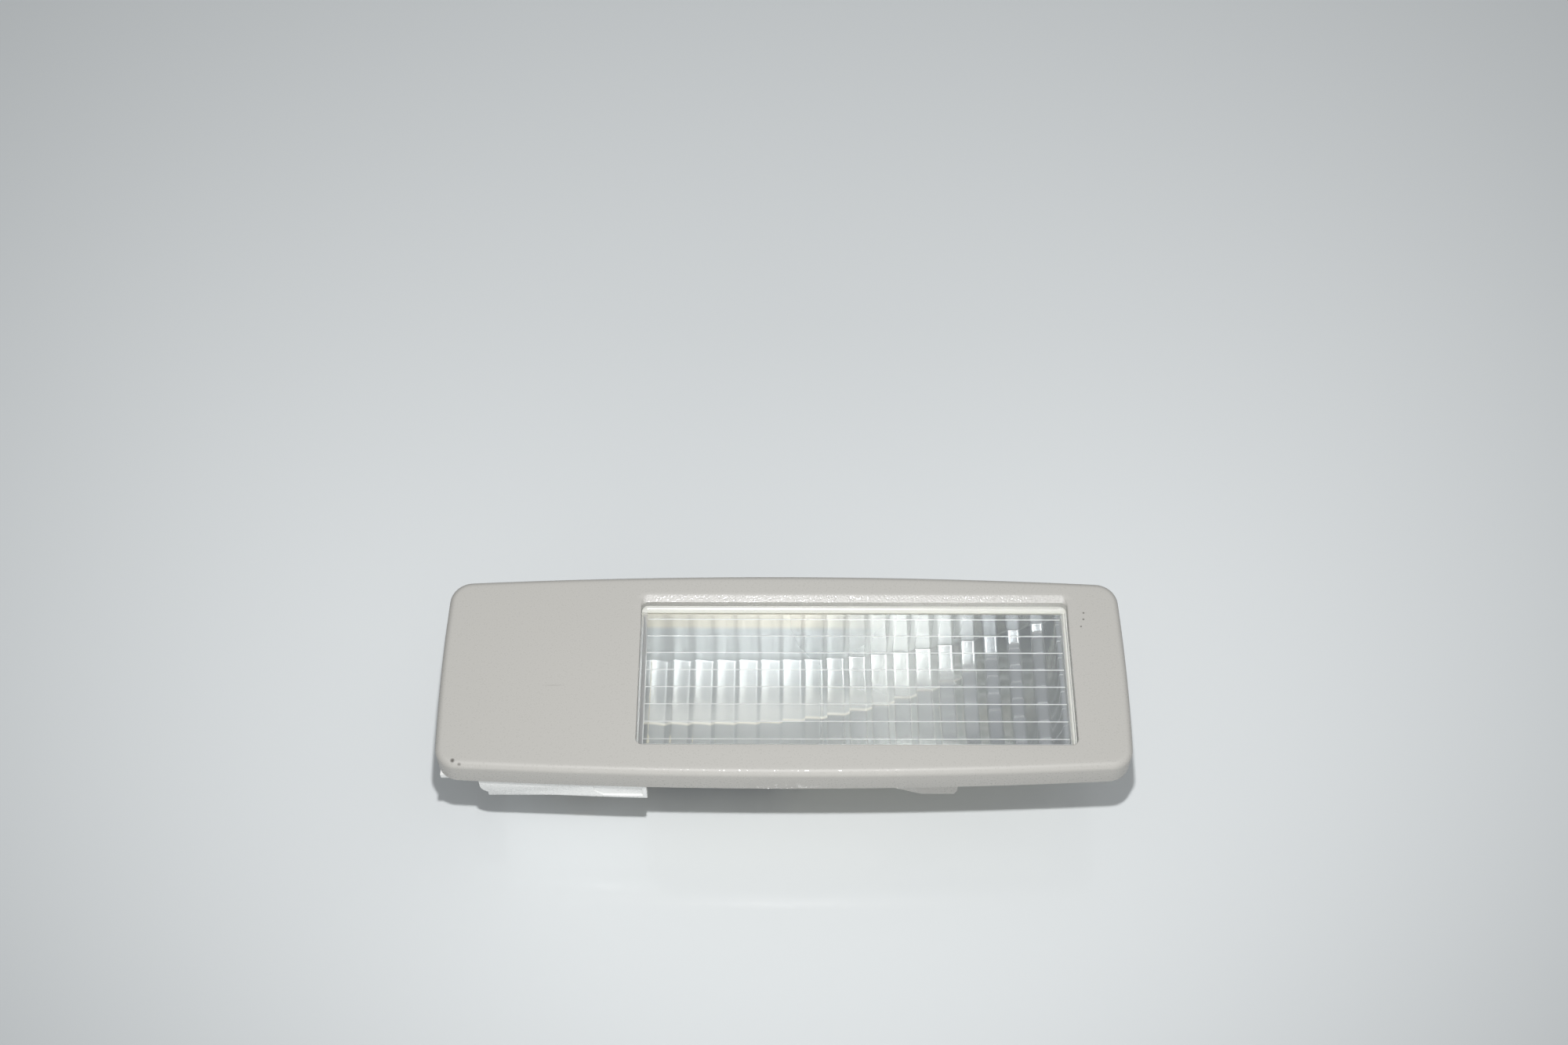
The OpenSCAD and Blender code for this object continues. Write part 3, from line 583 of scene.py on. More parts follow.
housing_white, tree, shader = make_material("housing textured white", (226, 227, 225), 0.42)
lay_grain(tree, shader, 0.6, 0.1, glint_share=0.25, glint_roughness=0.12)
socket_dark, tree, shader = make_material("connector dark plastic", (52, 54, 56), 0.45)
lay_grain(tree, shader, 0.3, 0.015, glint_share=0.05)
tin = streaked_metal("tinned sheet", (206, 208, 210), 0.3, (0.1, 1.0, 1.0))
spring_steel = streaked_metal("spring steel", (160, 163, 167), 0.32, (1.0, 1.0, 0.1))
contact_brass = streaked_metal("stamped brass", (222, 188, 112), 0.28, (1.0, 0.1, 1.0))
tungsten = streaked_metal("filament wire", (96, 98, 102), 0.4, (1.0, 1.0, 1.0))
bulb_clear = make_clear("bulb clear glass", 255, 0.0, 1.5, 1.0, (4.0, 0.02))
print("materials:", len(bpy.data.materials))

# %% [markdown]
# ## Bezel
# The bezel is a ring: a skirt, a rounded shoulder, a flat face, an opening and an underside. So it
# is built as a closed pile of rings, each a little further round that section. Outside, the rings
# follow the outline, which is four long arcs and four corners. Inside, they follow the opening.
# Both outlines have the same number of points per side, so the rings join with plain quads.

# %% Outlines
LONG, SHORT, CORNER = 72, 30, 12
side_bow, end_bow, corner_r = 2.2, 0.7, 5.2
lens_lip = 1.8
window_l, window_w, window_r, least_r = 97.9, 36.7, 1.5, 0.05
window_x = (lens_low.x + lens_high.x) / 2
window_y = (lens_low.y + lens_high.y) / 2


def arc_points(centre, radius, start, end, count):
    """Points along an arc, without its last one."""
    angles = np.linspace(start, end, count, endpoint=False)
    return [(centre[0] + radius * math.cos(a), centre[1] + radius * math.sin(a)) for a in angles]


def mirror_quarter(quarter, top):
    """A quarter outline from the +X axis, carried round by mirrors; it meets +Y at the top."""
    half = quarter + [(0.0, top)] + [(-x, y) for x, y in reversed(quarter[1:])]
    lower = [(x, -y) for x, y in reversed(half[1:])]
    return half + [(-quarter[0][0], 0.0)] + lower


def bezel_outline(inset):
    """The bezel's outline in metres: arcs that run into each other, set in by a distance."""
    a, b = bezel_l / 2, bezel_w / 2
    bow, end, corner = mm(side_bow), mm(end_bow), mm(corner_r)
    side_r = (a * a + bow * bow) / (2 * bow)
    end_r = (b * b + end * end) / (2 * end)
    side_c, end_c = np.array([0, b - side_r]), np.array([a - end_r, 0])
    between = end_c - side_c
    span = np.linalg.norm(between)
    along = ((side_r - corner) ** 2 - (end_r - corner) ** 2 + span ** 2) / (2 * span)
    aside = math.sqrt((side_r - corner) ** 2 - along ** 2)
    corner_c = side_c + along / span * between - aside / span * np.array([-between[1], between[0]])
    end_a = math.atan2(*(corner_c - end_c)[::-1])
    side_a = math.atan2(*(corner_c - side_c)[::-1])
    quarter = (arc_points(end_c, end_r - inset, 0, end_a, SHORT // 2)
               + arc_points(corner_c, corner - inset, end_a, side_a, CORNER)
               + arc_points(side_c, side_r - inset, side_a, math.pi / 2, LONG // 2))
    return mirror_quarter(quarter, b - inset)


def straight(start, end, count):
    """Points along a line, without its last one."""
    return [tuple(p) for p in np.linspace(start, end, count, endpoint=False)]


def window_outline(inset):
    """The opening's outline, centred on the lens, set in by a distance."""
    a, b = mm(window_l) / 2 - inset, mm(window_w) / 2 - inset
    r = max(mm(window_r) - inset, mm(least_r))
    quarter = (straight((a, 0), (a, b - r), SHORT // 2)
               + arc_points((a - r, b - r), r, 0, math.pi / 2, CORNER)
               + straight((a - r, b), (0, b), LONG // 2))
    return [(x + window_x, y + window_y) for x, y in mirror_quarter(quarter, b)]


print("points per ring:", len(bezel_outline(0)), len(window_outline(0)))

# %% [markdown]
# The opening is not the same all round. Its rear edge falls away in a broad coarse bevel, and its
# other edges are only softened. So the width and drop of the edge are worked out point by point: a
# share that is 1 along the rear side and runs out over the last two millimetres to each end.

# %% Bezel rings
skirt_h, skirt_wall, face_t, edge_r, rim_r = 7.3, 1.8, 2.4, 1.6, 0.35
bevel_w, bevel_drop, bevel_foot, soft_r = 1.7, 0.65, 0.25, 0.3
bevel_fade, bevel_lead = 1.2, 0.6
shoulder_land, window_land, inner_chamfer = 0.8, 2.4, 0.4
edge_turns = (0, 0.12, 0.25, 0.38, 0.5, 0.6, 0.75, 0.9, 1)


def rear_share(x, y):
    """1 along the rear side of the opening, 0 on the other sides."""
    ends = mm(window_l) / 2 - abs(x - window_x)
    along = min(max(ends / mm(bevel_fade) + bevel_lead, 0.0), 1.0)
    behind = min(max((y - window_y) / (mm(window_w) / 2) * 8 - 7, 0.0), 1.0)
    return behind * along * along * (3 - 2 * along)


def edge_ring(turn):
    """One ring of the opening's edge: turn 0 lies on the face, turn 1 on the wall below it."""
    ring = []
    back, down = 1 - math.sin(turn * math.pi / 2), 1 - math.cos(turn * math.pi / 2)
    slope, foot = min(turn * 2, 1), max(turn * 2 - 1, 0)
    for (x, y), (wide_x, wide_y) in zip(window_outline(0), window_outline(-mm(soft_r))):
        share = rear_share(x, y)
        soft = (x + (wide_x - x) * back, y + (wide_y - y) * back, face_z - mm(soft_r) * down)
        bevel = (x, y + mm(bevel_w) * (1 - slope), up(bevel_drop * slope + bevel_foot * foot))
        ring.append(tuple(a * (1 - share) + b * share for a, b in zip(soft, bevel)))
    return ring


def flat_ring(outline, height):
    """An outline at one height."""
    return [(x, y, height) for x, y in outline]


def outer_ring(inset_mm, depth_mm):
    """The bezel's outline, set in and let down by so many millimetres."""
    return flat_ring(bezel_outline(mm(inset_mm)), up(depth_mm))


def bezel_rings():
    """All rings in order, from the skirt's lower rim over the face, down the opening and back."""
    rings = [outer_ring(rim_r * (1 - math.sin(a)), skirt_h - rim_r * (1 - math.cos(a)))
             for a in np.linspace(0, math.pi / 2, 4)]
    rings += [outer_ring(edge_r * (1 - math.cos(a)), edge_r * (1 - math.sin(a)))
              for a in np.linspace(0, math.pi / 2, 11)]
    rings.append(outer_ring(edge_r + shoulder_land, 0))
    rings.append(flat_ring(window_outline(-mm(window_land)), face_z))
    rings += [edge_ring(turn) for turn in edge_turns]
    rings.append(flat_ring(window_outline(0), up(face_t)))
    rings.append(outer_ring(skirt_wall + inner_chamfer, face_t))
    rings.append(outer_ring(skirt_wall, face_t + inner_chamfer))
    rings.append(outer_ring(skirt_wall, skirt_h))
    return rings


bezel = ring_pile("bezel_shell", bezel_rings())
shade(bezel, 40)
bezel.data.materials.append(bezel_grey)
bezel.data.materials.append(bevel_grey_painted_lighter)
# Faces of the rear bevel get the bevel's grey, which is painted lighter as a highlight.
for face in bezel.data.polygons:
    centre, slope = face.center, face.normal
    on_bevel = centre.y > window_y + mm(window_w) / 2 and 0.8 < slope.z < 0.97 and slope.y < -0.2
    face.material_index = 1 if on_bevel and face_z - centre.z < mm(bevel_drop) else 0
finish_piece(bezel, None, "grey_plastic", ["bezel"])

# %% [markdown]
# Behind the face the bezel has bosses for two screws, two ribs that keep the heat shield in place
# and three snap arms. They are small blocks with softened edges. One helper carries a profile that
# is drawn in two directions along the third, and another one bevels the edges.

# %% Prisms with soft edges
def prism(name, profile, axis, low, high):
    """A profile carried along an axis ('x', 'y' or 'z') from low to high, all in metres."""
    def spot(p, q):
        return {"x": (q, p[0], p[1]), "y": (p[0], q, p[1]), "z": (p[0], p[1], q)}[axis]
    return ring_pile(name, [[spot(p, q) for p in profile] for q in (low, high)], capped=True)


def box_profile(left, right, low, high):
    """The four corners of a box, in order."""
    return [(left, low), (right, low), (right, high), (left, high)]


def meet(piece, other, operation):
    """Cuts a piece with another one, or keeps what they share; the other one is used up."""
    cut = piece.modifiers.new("cut", "BOOLEAN")
    cut.operation = operation
    cut.solver = "EXACT"
    cut.object = other
    apply_modifiers(piece)
    bpy.data.objects.remove(other)


def soften(piece, radius_mm, segments=2):
    """Rounds every sharp edge of a piece."""
    bevel = piece.modifiers.new("soft edges", "BEVEL")
    bevel.width = mm(radius_mm)
    bevel.segments = segments
    bevel.limit_method = "ANGLE"
    bevel.angle_limit = math.radians(30)
    apply_modifiers(piece)
    shade(piece, 50)
    return piece


def merge(name, pieces):
    """One object from several."""
    joined = bmesh.new()
    for piece in pieces:
        joined.from_mesh(piece.data)
        bpy.data.objects.remove(piece)
    mesh = bpy.data.meshes.new(name)
    joined.to_mesh(mesh)
    joined.free()
    return place_object(name, mesh)


print("block helpers ready")

# %% Bosses, ribs and gate mark
def turned(name, centre, profile, count=40):
    """A ring turned about an upright axis, from (radius in mm, height in metres) points."""
    angles = np.linspace(0, 2 * math.pi, count, endpoint=False)
    rings = [[(centre[0] + mm(r) * math.cos(a), centre[1] + mm(r) * math.sin(a), z) for a in angles]
             for r, z in profile]
    return ring_pile(name, rings)


screw_x, screw_y, boss_r, hole_r, boss_edge = -71.3, 10.0, 3.0, 1.25, 0.3
rib_h, rib_half_t, rib_share = 1.0, 0.6, 2 / 3
boss_foot, boss_end = up(face_t), up(skirt_h)
boss_profile = [
    (boss_r, boss_foot), (boss_r, boss_end + mm(boss_edge)), (boss_r - boss_edge, boss_end),
    (hole_r + boss_edge / 2, boss_end), (hole_r, boss_end + mm(boss_edge / 2)), (hole_r, boss_foot)]
back_parts = [turned(f"boss_{i}", (mm(screw_x), mm(y)), boss_profile)
              for i, y in enumerate((-screw_y, screw_y))]
glass_low, glass_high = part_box("bulb_glass")
rib_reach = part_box("bulb_cap_rear")[1].y * rib_share
for x in (glass_low.x * 1.5 - glass_high.x * 0.5, glass_high.x * 1.5 - glass_low.x * 0.5):
    profile = box_profile(x - mm(rib_half_t), x + mm(rib_half_t), boss_foot, boss_foot - mm(rib_h))
    back_parts.append(soften(prism("rib", profile, "y", -rib_reach, rib_reach), 0.2))
gate_profile = [(mm(1.3), up(skirt_h + 0.35)), (mm(2.9), up(skirt_h + 0.35)),
                (mm(3.0), up(skirt_h - 0.3)), (mm(1.2), up(skirt_h - 0.3))]
gate_mark = prism("gate_mark", gate_profile, "y", mm(-25.45), mm(-24.6))
back_parts.append(soften(gate_mark, 0.12))
bezel_back = merge("bezel_back", back_parts)
shade(bezel_back, 40)
finish_piece(bezel_back, bezel_grey, "grey_plastic")

# %% Snap arms
arm_w, arm_t, arm_d, arm_gap = 8.0, 1.4, 17.5, 0.4
catch_reach, catch_h, slope_drop, tip_drop, tip_run = 1.5, 2.4, 3.4, 1.6, 0.6
front_arm_x, front_arm_w = 15.6, 15.0
arm_y = (lens_high.y - lens_low.y) / 2 / MM + abs(window_y) / MM + arm_gap
catch_d = arm_d - catch_h
lens_l = (lens_high.x - lens_low.x) / MM - 2 * lens_lip


def snap_arm(name, x, width, side):
    """A snap arm on the front (side -1) or the rear (side 1), its tip sloping up to the left."""
    root, x_mm = up(face_t), x / MM
    profile = [(arm_y + arm_t, root), (arm_y + arm_t, up(arm_d)), (arm_y, up(arm_d)),
               (arm_y - catch_reach, up(catch_d)), (arm_y, up(catch_d)), (arm_y, root)]
    arm = prism(name, [(side * mm(y), z) for y, z in profile], "x", x - mm(width / 2),
                x + mm(width / 2))
    tip = [(x_mm - width, root), (x_mm - width / 2, up(arm_d - slope_drop)),
           (x_mm - width / 20, up(arm_d)), (x_mm + width / 2 - tip_run, up(arm_d)),
           (x_mm + width / 2, up(arm_d - tip_drop)), (x_mm + width, root)]
    ends = sorted((0.0, side * mm(arm_y + arm_t + 1)))
    meet(arm, prism("tip", [(mm(p), z) for p, z in tip], "y", *ends), "INTERSECT")
    return soften(arm, 0.25, 3)


arms = [snap_arm("front", window_x + mm(front_arm_x), front_arm_w, -1)]
arms += [snap_arm(f"rear_{i}", window_x + way * mm(lens_l / 6), arm_w, 1)
         for i, way in enumerate((-1, 1))]
snap_arms = merge("snap_arms", arms)
shade(snap_arms, 50)
finish_piece(snap_arms, bezel_grey, "grey_plastic")

# %% [markdown]
# ## Lens
# The lens is a thick clear pane with a flange that hides under the bezel. Its top edge is rounded,
# and that edge draws the bright line along the rear of the opening. The pane is again a pile of
# rings, with its two ends closed.

# %% Lens pane
lens_sink, lens_fit, lip_t, lip_edge, lip_gap = 2.1, 0.2, 1.6, 0.15, 0.02
bead_w, bead_r, bead_rise = 1.25, 0.25, 0.36
groove_count, groove_pitch, groove_w, groove_end = 8, 4.4, 0.26, 1.2


def lens_ring(inset_mm, depth_mm):
    """The lens's outline, set in and let down by so many millimetres."""
    return flat_ring(window_outline(mm(lens_fit + inset_mm)), up(depth_mm))


rim_d, lip_d, pane_d = face_t + lip_t, face_t + lip_gap, lens_sink + bead_rise
rings = [lens_ring(lip_edge - lens_lip, rim_d), lens_ring(-lens_lip, rim_d - lip_edge),
         lens_ring(-lens_lip, lip_d + lip_edge), lens_ring(lip_edge - lens_lip, lip_d),
         lens_ring(0, lip_d)]
rings += [lens_ring(bead_r * (1 - math.cos(a)), lens_sink + bead_r * (1 - math.sin(a)))
          for a in np.linspace(0.3, math.pi / 2, 6)]
rings += [lens_ring(bead_r + (bead_w - bead_r) * t, lens_sink + (pane_d - lens_sink) * t * (2 - t))
          for t in np.linspace(0, 1, 9)[1:]]
lens = ring_pile("lens_pane", rings, capped=True)
for finish in (lens_clear, edge_frost, groove_painted_glint):
    lens.data.materials.append(finish)
for face in lens.data.polygons:
    on_bead = up(pane_d - 0.01) < face.center.z < up(lens_sink - 0.01)
    face.material_index = 1 if on_bead and face.normal.z > 0.5 else 0
print("lens pane:", len(rings), "rings of", len(rings[0]), "points")

# %% [markdown]
# Eight fine grooves run along the back of the pane. A groove repeats at one pitch, so Geometry
# Nodes make it: a line of points, one four-sided bar on each, and one cut for all of them. A bar
# stood on its edge leaves a V. The bars carry the partly white material of painted glints, and the
# cut hands it on to the walls of the grooves.

# %% Groove tree
def make_groove_tree():
    """Cuts a row of V grooves along X into a piece."""
    tree, given, end = new_tree(
        "row of grooves", "GeometryNodeTree",
        {"Geometry": "Geometry", "Count": 8, "Pitch": mm(4.4), "Width": mm(0.5),
         "Length": mm(95), "Centre": (0.0, 0.0, 0.0), "Glint white": "Material"},
        {"Geometry": "Geometry"})
    pitch = given["Pitch"]
    first = add_node(tree, "ShaderNodeCombineXYZ", {"Y": (given["Count"] - 1.0) * pitch * -0.5})
    begin = vector_math(tree, "ADD", first.outputs[0], given["Centre"])
    step = add_node(tree, "ShaderNodeCombineXYZ", {"Y": pitch})
    line = add_node(tree, "GeometryNodeMeshLine",
                    {"Count": given["Count"], "Start Location": begin,
                     "Offset": step.outputs[0]})
    bar = add_node(tree, "GeometryNodeMeshCylinder",
                   {"Vertices": 4, "Radius": given["Width"] * 0.5,
                    "Depth": given["Length"]})
    frosted = add_node(tree, "GeometryNodeSetMaterial",
                       {"Geometry": bar.outputs["Mesh"], "Material": given["Glint white"]})
    rows = add_node(tree, "GeometryNodeInstanceOnPoints",
                    {"Points": line.outputs[0], "Instance": frosted.outputs[0],
                     "Rotation": (0.0, math.pi / 2, 0.0)})
    bars = add_node(tree, "GeometryNodeRealizeInstances", {"Geometry": rows.outputs[0]})
    cut = add_node(tree, "GeometryNodeMeshBoolean",
                   {"Mesh 1": given["Geometry"], "Mesh 2": bars.outputs[0]},
                   operation="DIFFERENCE", solver="EXACT")
    join(tree, cut.outputs["Mesh"], end.inputs["Geometry"])
    return tree


run_tree(lens, make_groove_tree(), {
    "Count": groove_count, "Pitch": mm(groove_pitch), "Width": mm(groove_w),
    "Length": mm(window_l - 2 * (lens_fit + groove_end)),
    "Centre": (window_x, window_y, up(rim_d)), "Glint white": groove_painted_glint})
shade(lens, 30)
print("lens materials:", [m.name for m in lens.data.materials if m])
finish_piece(lens, None, "clear_plastic", ["lens"])

# %% [markdown]
# ## Reflector
# This is the skilful piece of the lamp. The bulb lies across one end, far from most of the window,
# and still the whole window has to glow. So the floor is a stair. The long face of each step lies
# along a ray from the bulb and catches nothing, and the short face at its end stands across the
# ray and throws it out. The steps get higher and the floor sweeps up towards the far end, so every
# step gets its share of light. A rule like that is what Geometry Nodes are for: a plain grid goes
# in, and each point's depth is worked out from the rule.

# %% Step tree
def make_step_tree():
    """Turns a flat grid into the reflector's stair, with its bowed floor and its walls."""
    lengths = {
        "Step pitch": step_pitch, "First step": first_step, "Bulb place": -48.5,
        "Ray depth": 18.25, "Floor depth": 24.3, "Rim depth": 5.4, "Sweep start": -4.8,
        "Sweep radius": 129.0, "Hollow": -0.02, "Crest run": 2.2, "Bowl radius": 115.0,
        "Bowl line": 12.0, "Front radius": 16.0, "Front line": -5.0, "Half width": 17.0,
        "Corner radius": 0.35, "Wall run": 6.0, "Wall top": 4.5, "Face height": 38.0}
    tree, given, end = new_tree(
        "stair of light", "GeometryNodeTree",
        {"Geometry": "Geometry", **{label: mm(value) for label, value in lengths.items()},
         "Steepness": 1.0, "Wall slope": 0.042, "Rounding": 4, "Coat": "Material"},
        {"Geometry": "Geometry"})
    x, y_run, _ = split(tree, add_node(tree, "GeometryNodeInputPosition").outputs[0])

    def rise(radius, run):
        """How far an arc has risen after a run from its lowest point."""
        return radius - (radius * radius - run * run).root()

    def swept(at):
        """The depth of the step tops at a place along the lamp."""
        lift = rise(given["Sweep radius"], (at - given["Sweep start"]).at_least(0.0))
        return (given["Floor depth"] - lift).at_least(given["Rim depth"])

    index = ((x - given["First step"]) / given["Step pitch"]).floor().at_least(0.0)
    edge_x = given["First step"] + index * given["Step pitch"]
    along = x - edge_x
    top, next_top = swept(edge_x), swept(edge_x + given["Step pitch"])
    ray = (top - given["Ray depth"]) / (edge_x - given["Bulb place"])
    steep = given["Steepness"]
    long_run = (next_top + steep * given["Step pitch"] - top) / (ray + steep)
    part = (along / long_run).clamped()
    crest = given["Crest run"]
    near_crest = (along / crest).rest().at_least(0.0)
    crest_drop = ray.at_least(0.0) * crest * 0.5
    long_face = top + ray * along + part * part.rest() * given["Hollow"] * 4.0
    long_face = long_face + near_crest * near_crest * crest_drop
    short_face = next_top + (steep * (given["Step pitch"] - along)).at_least(crest_drop)
    floor = blend_terms(along.above(long_run), long_face, short_face)
    rounded = add_node(tree, "GeometryNodeBlurAttribute",
                       {"Value": floor, "Iterations": given["Rounding"]})
    floor = Term(tree, rounded.outputs[0])

    flat_half = given["Half width"] - given["Corner radius"]
    past = y_run.size() - flat_half
    turn = (past / given["Corner radius"]).at_least(0.0).at_most(math.pi / 2)
    y = y_run.size().at_most(flat_half) + given["Corner radius"] * turn.sine()
    lift = given["Corner radius"] * turn.cosine().rest()
    wall = ((past - given["Corner radius"] * (math.pi / 2)) / given["Wall run"]).at_least(0.0)
    lean = (floor - given["Wall top"]).at_least(0.0) * given["Wall slope"]
    y = y_run.sign() * (y * (lean / given["Half width"]).rest() + wall * lean)
    sag = rise(given["Bowl radius"], y - given["Bowl line"])
    sag = sag + rise(given["Front radius"], (given["Front line"] - y).at_least(0.0))
    share = (sag / (given["Floor depth"] - given["Rim depth"])).rest()
    depth = given["Rim depth"] + (floor - given["Rim depth"]).at_least(0.0) * share - lift
    depth = blend_terms(wall, depth.at_least(given["Wall top"]), given["Wall top"])
    height = given["Face height"] - depth
    spot = add_node(tree, "ShaderNodeCombineXYZ", {"X": x, "Y": y, "Z": height})
    moved = add_node(tree, "GeometryNodeSetPosition", {"Position": spot.outputs[0]})
    geometry = given["Geometry"]
    for name, mask in (("short_face", along.above(long_run)), ("side_wall", wall.above(0.0))):
        soft = add_node(tree, "GeometryNodeBlurAttribute", {"Value": mask, "Iterations": 2})
        note = add_node(tree, "GeometryNodeStoreNamedAttribute",
                        {"Geometry": geometry, "Name": name, "Value": soft.outputs[0]},
                        data_type="FLOAT", domain="POINT")
        geometry = note.outputs[0]
    join(tree, geometry, moved.inputs["Geometry"])
    coated = add_node(tree, "GeometryNodeSetMaterial",
                      {"Geometry": moved.outputs[0], "Material": given["Coat"]})
    real = add_node(tree, "GeometryNodeRealizeInstances", {"Geometry": coated.outputs[0]})
    join(tree, real.outputs[0], end.inputs["Geometry"])
    return tree


print(f"a step every {step_pitch} mm, the first at {first_step} mm")

# %% Reflector coat
coat_lift, coat_t, corner_round, wall_run, inner_half = 0.35, 0.12, 0.35, 6.0, 17.35
half_width = inner_half - coat_lift
flat_half = half_width - corner_round
corner_run = corner_round * math.pi / 2
step_columns, lead_columns, end_gap = 32, 7, 1.9
column = step_pitch / step_columns
xs = np.arange(first_step - lead_columns * column, lens_high.x / MM - end_gap, column)
edge_rows = np.concatenate([
    np.linspace(flat_half, flat_half + corner_run, 7)[1:],
    flat_half + corner_run + np.linspace(0, wall_run, 4)[1:]])
ys = np.concatenate([-edge_rows[::-1], np.linspace(-flat_half, flat_half, 25), edge_rows])
wide = len(xs)
quads = [(j * wide + i, j * wide + i + 1, (j + 1) * wide + i + 1, (j + 1) * wide + i)
         for j in range(len(ys) - 1) for i in range(wide - 1)]
coat = plain_object("reflector_coat", [(mm(x), mm(y), 0.0) for y in ys for x in xs], quads)
run_tree(coat, make_step_tree(), {
    "Half width": mm(half_width), "Corner radius": mm(corner_round), "Wall run": mm(wall_run),
    "Face height": face_z + mm(coat_lift), "Coat": reflector_coat})
skin = coat.modifiers.new("coat thickness", "SOLIDIFY")
skin.thickness = mm(coat_t)
skin.offset = -1.0
apply_modifiers(coat)
shade(coat, 40)
finish_piece(coat, reflector_coat, "mirror_coat")

# %% [markdown]
# ## Plain pieces from the solids
# The housing, the connector and the sheet metal already have the right shape in the solid model,
# but its edges are knife-sharp, and no real edge is. Each is copied, its loose triangles are merged
# into plain faces, and its edges are rounded. The copy then stands for the solid. The glass, the
# filament, its leads and the reflector under its coat stay solids and only get a material.

# %% Softened copies
def soft_copy(node, name, material, slot, radius_mm):
    """A copy of a solid with merged faces and rounded edges, standing for it."""
    work = bmesh.new()
    work.from_mesh(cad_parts[node].data)
    bmesh.ops.remove_doubles(work, verts=work.verts, dist=mm(0.002))
    bmesh.ops.dissolve_limit(work, angle_limit=math.radians(1), verts=work.verts, edges=work.edges)
    mesh = bpy.data.meshes.new(name)
    work.to_mesh(mesh)
    work.free()
    finish_piece(soften(place_object(name, mesh), radius_mm), material, slot, [node])


for copy_job in [
        ("housing", "lamp_housing", housing_white, "white_plastic", 0.2),
        ("socket", "connector_body", socket_dark, "dark_plastic", 0.2),
        ("heat_shield", "heat_shield_sheet", tin, "tin_plate", 0.1),
        ("retaining_spring", "retaining_spring_leaf", spring_steel, "steel", 0.12),
        ("busbar_feed", "feed_bar", contact_brass, "contact_brass", 0.1),
        ("busbar_ground", "ground_bar", contact_brass, "contact_brass", 0.1),
        ("contact_front", "front_contact", contact_brass, "contact_brass", 0.08),
        ("contact_rear", "rear_contact", contact_brass, "contact_brass", 0.08),
        ("bulb_cap_front", "front_cap", tin, "tin_plate", 0.12),
        ("bulb_cap_rear", "rear_cap", tin, "tin_plate", 0.12)]:
    soft_copy(*copy_job)

# %% Solids that stay as they are
for node, material in [
        ("reflector", reflector_cream), ("bulb_glass", bulb_clear), ("bulb_filament", tungsten),
        ("bulb_lead_front", spring_steel), ("bulb_lead_rear", spring_steel)]:
    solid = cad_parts[node]
    solid.data.materials.clear()
    solid.data.materials.append(material)
    print(node, "keeps its solid")

# %% [markdown]
# ## Rivets and screws
# Four rivets hold the contacts, one holds the spring, and two screws hold the housing. All are the
# same idea: a shank between two ends, each end a dome with its own radius. Geometry Nodes turn a
# plain tube into that by a rule for its radius, and put one at every place.

# %% Headed pin tree
def make_pin_tree():
    """Puts one headed pin at every point."""
    tree, given, end = new_tree(
        "headed pins", "GeometryNodeTree",
        {"Geometry": "Geometry", "Length": mm(4.3), "Head height": mm(0.7),
         "Head radius": mm(2.2), "Tip radius": mm(2.2), "Shank radius": mm(1.3),
         "Fullness": 1.0, "Turn": (0.0, 0.0, 0.0), "Metal": "Material"},
        {"Geometry": "Geometry"})
    tube = add_node(tree, "GeometryNodeMeshCylinder",
                    {"Vertices": 36, "Side Segments": 40, "Radius": 1.0, "Depth": 1.0})
    x, y, along = split(tree, add_node(tree, "GeometryNodeInputPosition").outputs[0])
    from_end = along.size() * -1.0 + 0.5
    turn = (from_end / 0.3).at_least(0.12).at_most(1.0) * (math.pi / 2)
    head = blend_terms(along.above(0.0), given["Head radius"], given["Tip radius"])
    dome = head * turn.sine().math("POWER", given["Fullness"])
    radius = blend_terms(ramp(from_end, 0.3, 0.35), dome, given["Shank radius"])
    deep = turn.cosine().rest() * given["Head height"]
    deep = deep + ramp(from_end, 0.35, 0.5) * (given["Length"] * 0.5 - given["Head height"])
    z = along.sign() * (given["Length"] * 0.5 - deep)
    spot = add_node(tree, "ShaderNodeCombineXYZ", {"X": x * radius, "Y": y * radius, "Z": z})
    pin = add_node(tree, "GeometryNodeSetPosition",
                   {"Geometry": tube.outputs["Mesh"], "Position": spot.outputs[0]})
    row = add_node(tree, "GeometryNodeInstanceOnPoints",
                   {"Points": given["Geometry"], "Instance": pin.outputs[0],
                    "Rotation": given["Turn"]})
    real = add_node(tree, "GeometryNodeRealizeInstances", {"Geometry": row.outputs[0]})
    made = add_node(tree, "GeometryNodeSetMaterial",
                    {"Geometry": real.outputs[0], "Material": given["Metal"]})
    join(tree, made.outputs[0], end.inputs["Geometry"])
    return tree


pin_tree = make_pin_tree()


def pins(name, places, values):
    """One headed pin at each place, which is its middle in metres."""
    piece = plain_object(name, places)
    run_tree(piece, pin_tree, {"Metal": spring_steel, **values})
    shade(piece, 35)
    return piece


print("headed pin tree:", len(pin_tree.nodes), "nodes")

# %% Rivets and screws
head_r, rivet_spacing = mm(2.21), mm(5.3)
low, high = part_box("contact_rivets")
middle = (low + high) / 2
rivets = pins("contact_rivet_set",
              [(middle.x, way * (high.y - head_r - gap), middle.z)
               for way in (-1, 1) for gap in (0.0, rivet_spacing)],
              {"Length": high.z - low.z, "Head radius": head_r, "Tip radius": head_r})
finish_piece(rivets, spring_steel, "steel", ["contact_rivets"])

low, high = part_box("spring_rivet")
rivets = pins("spring_rivet_pin", [tuple((low + high) / 2)],
              {"Length": high.x - low.x, "Head radius": head_r, "Tip radius": head_r,
               "Turn": (0.0, math.pi / 2, 0.0)})
finish_piece(rivets, spring_steel, "steel", ["spring_rivet"])

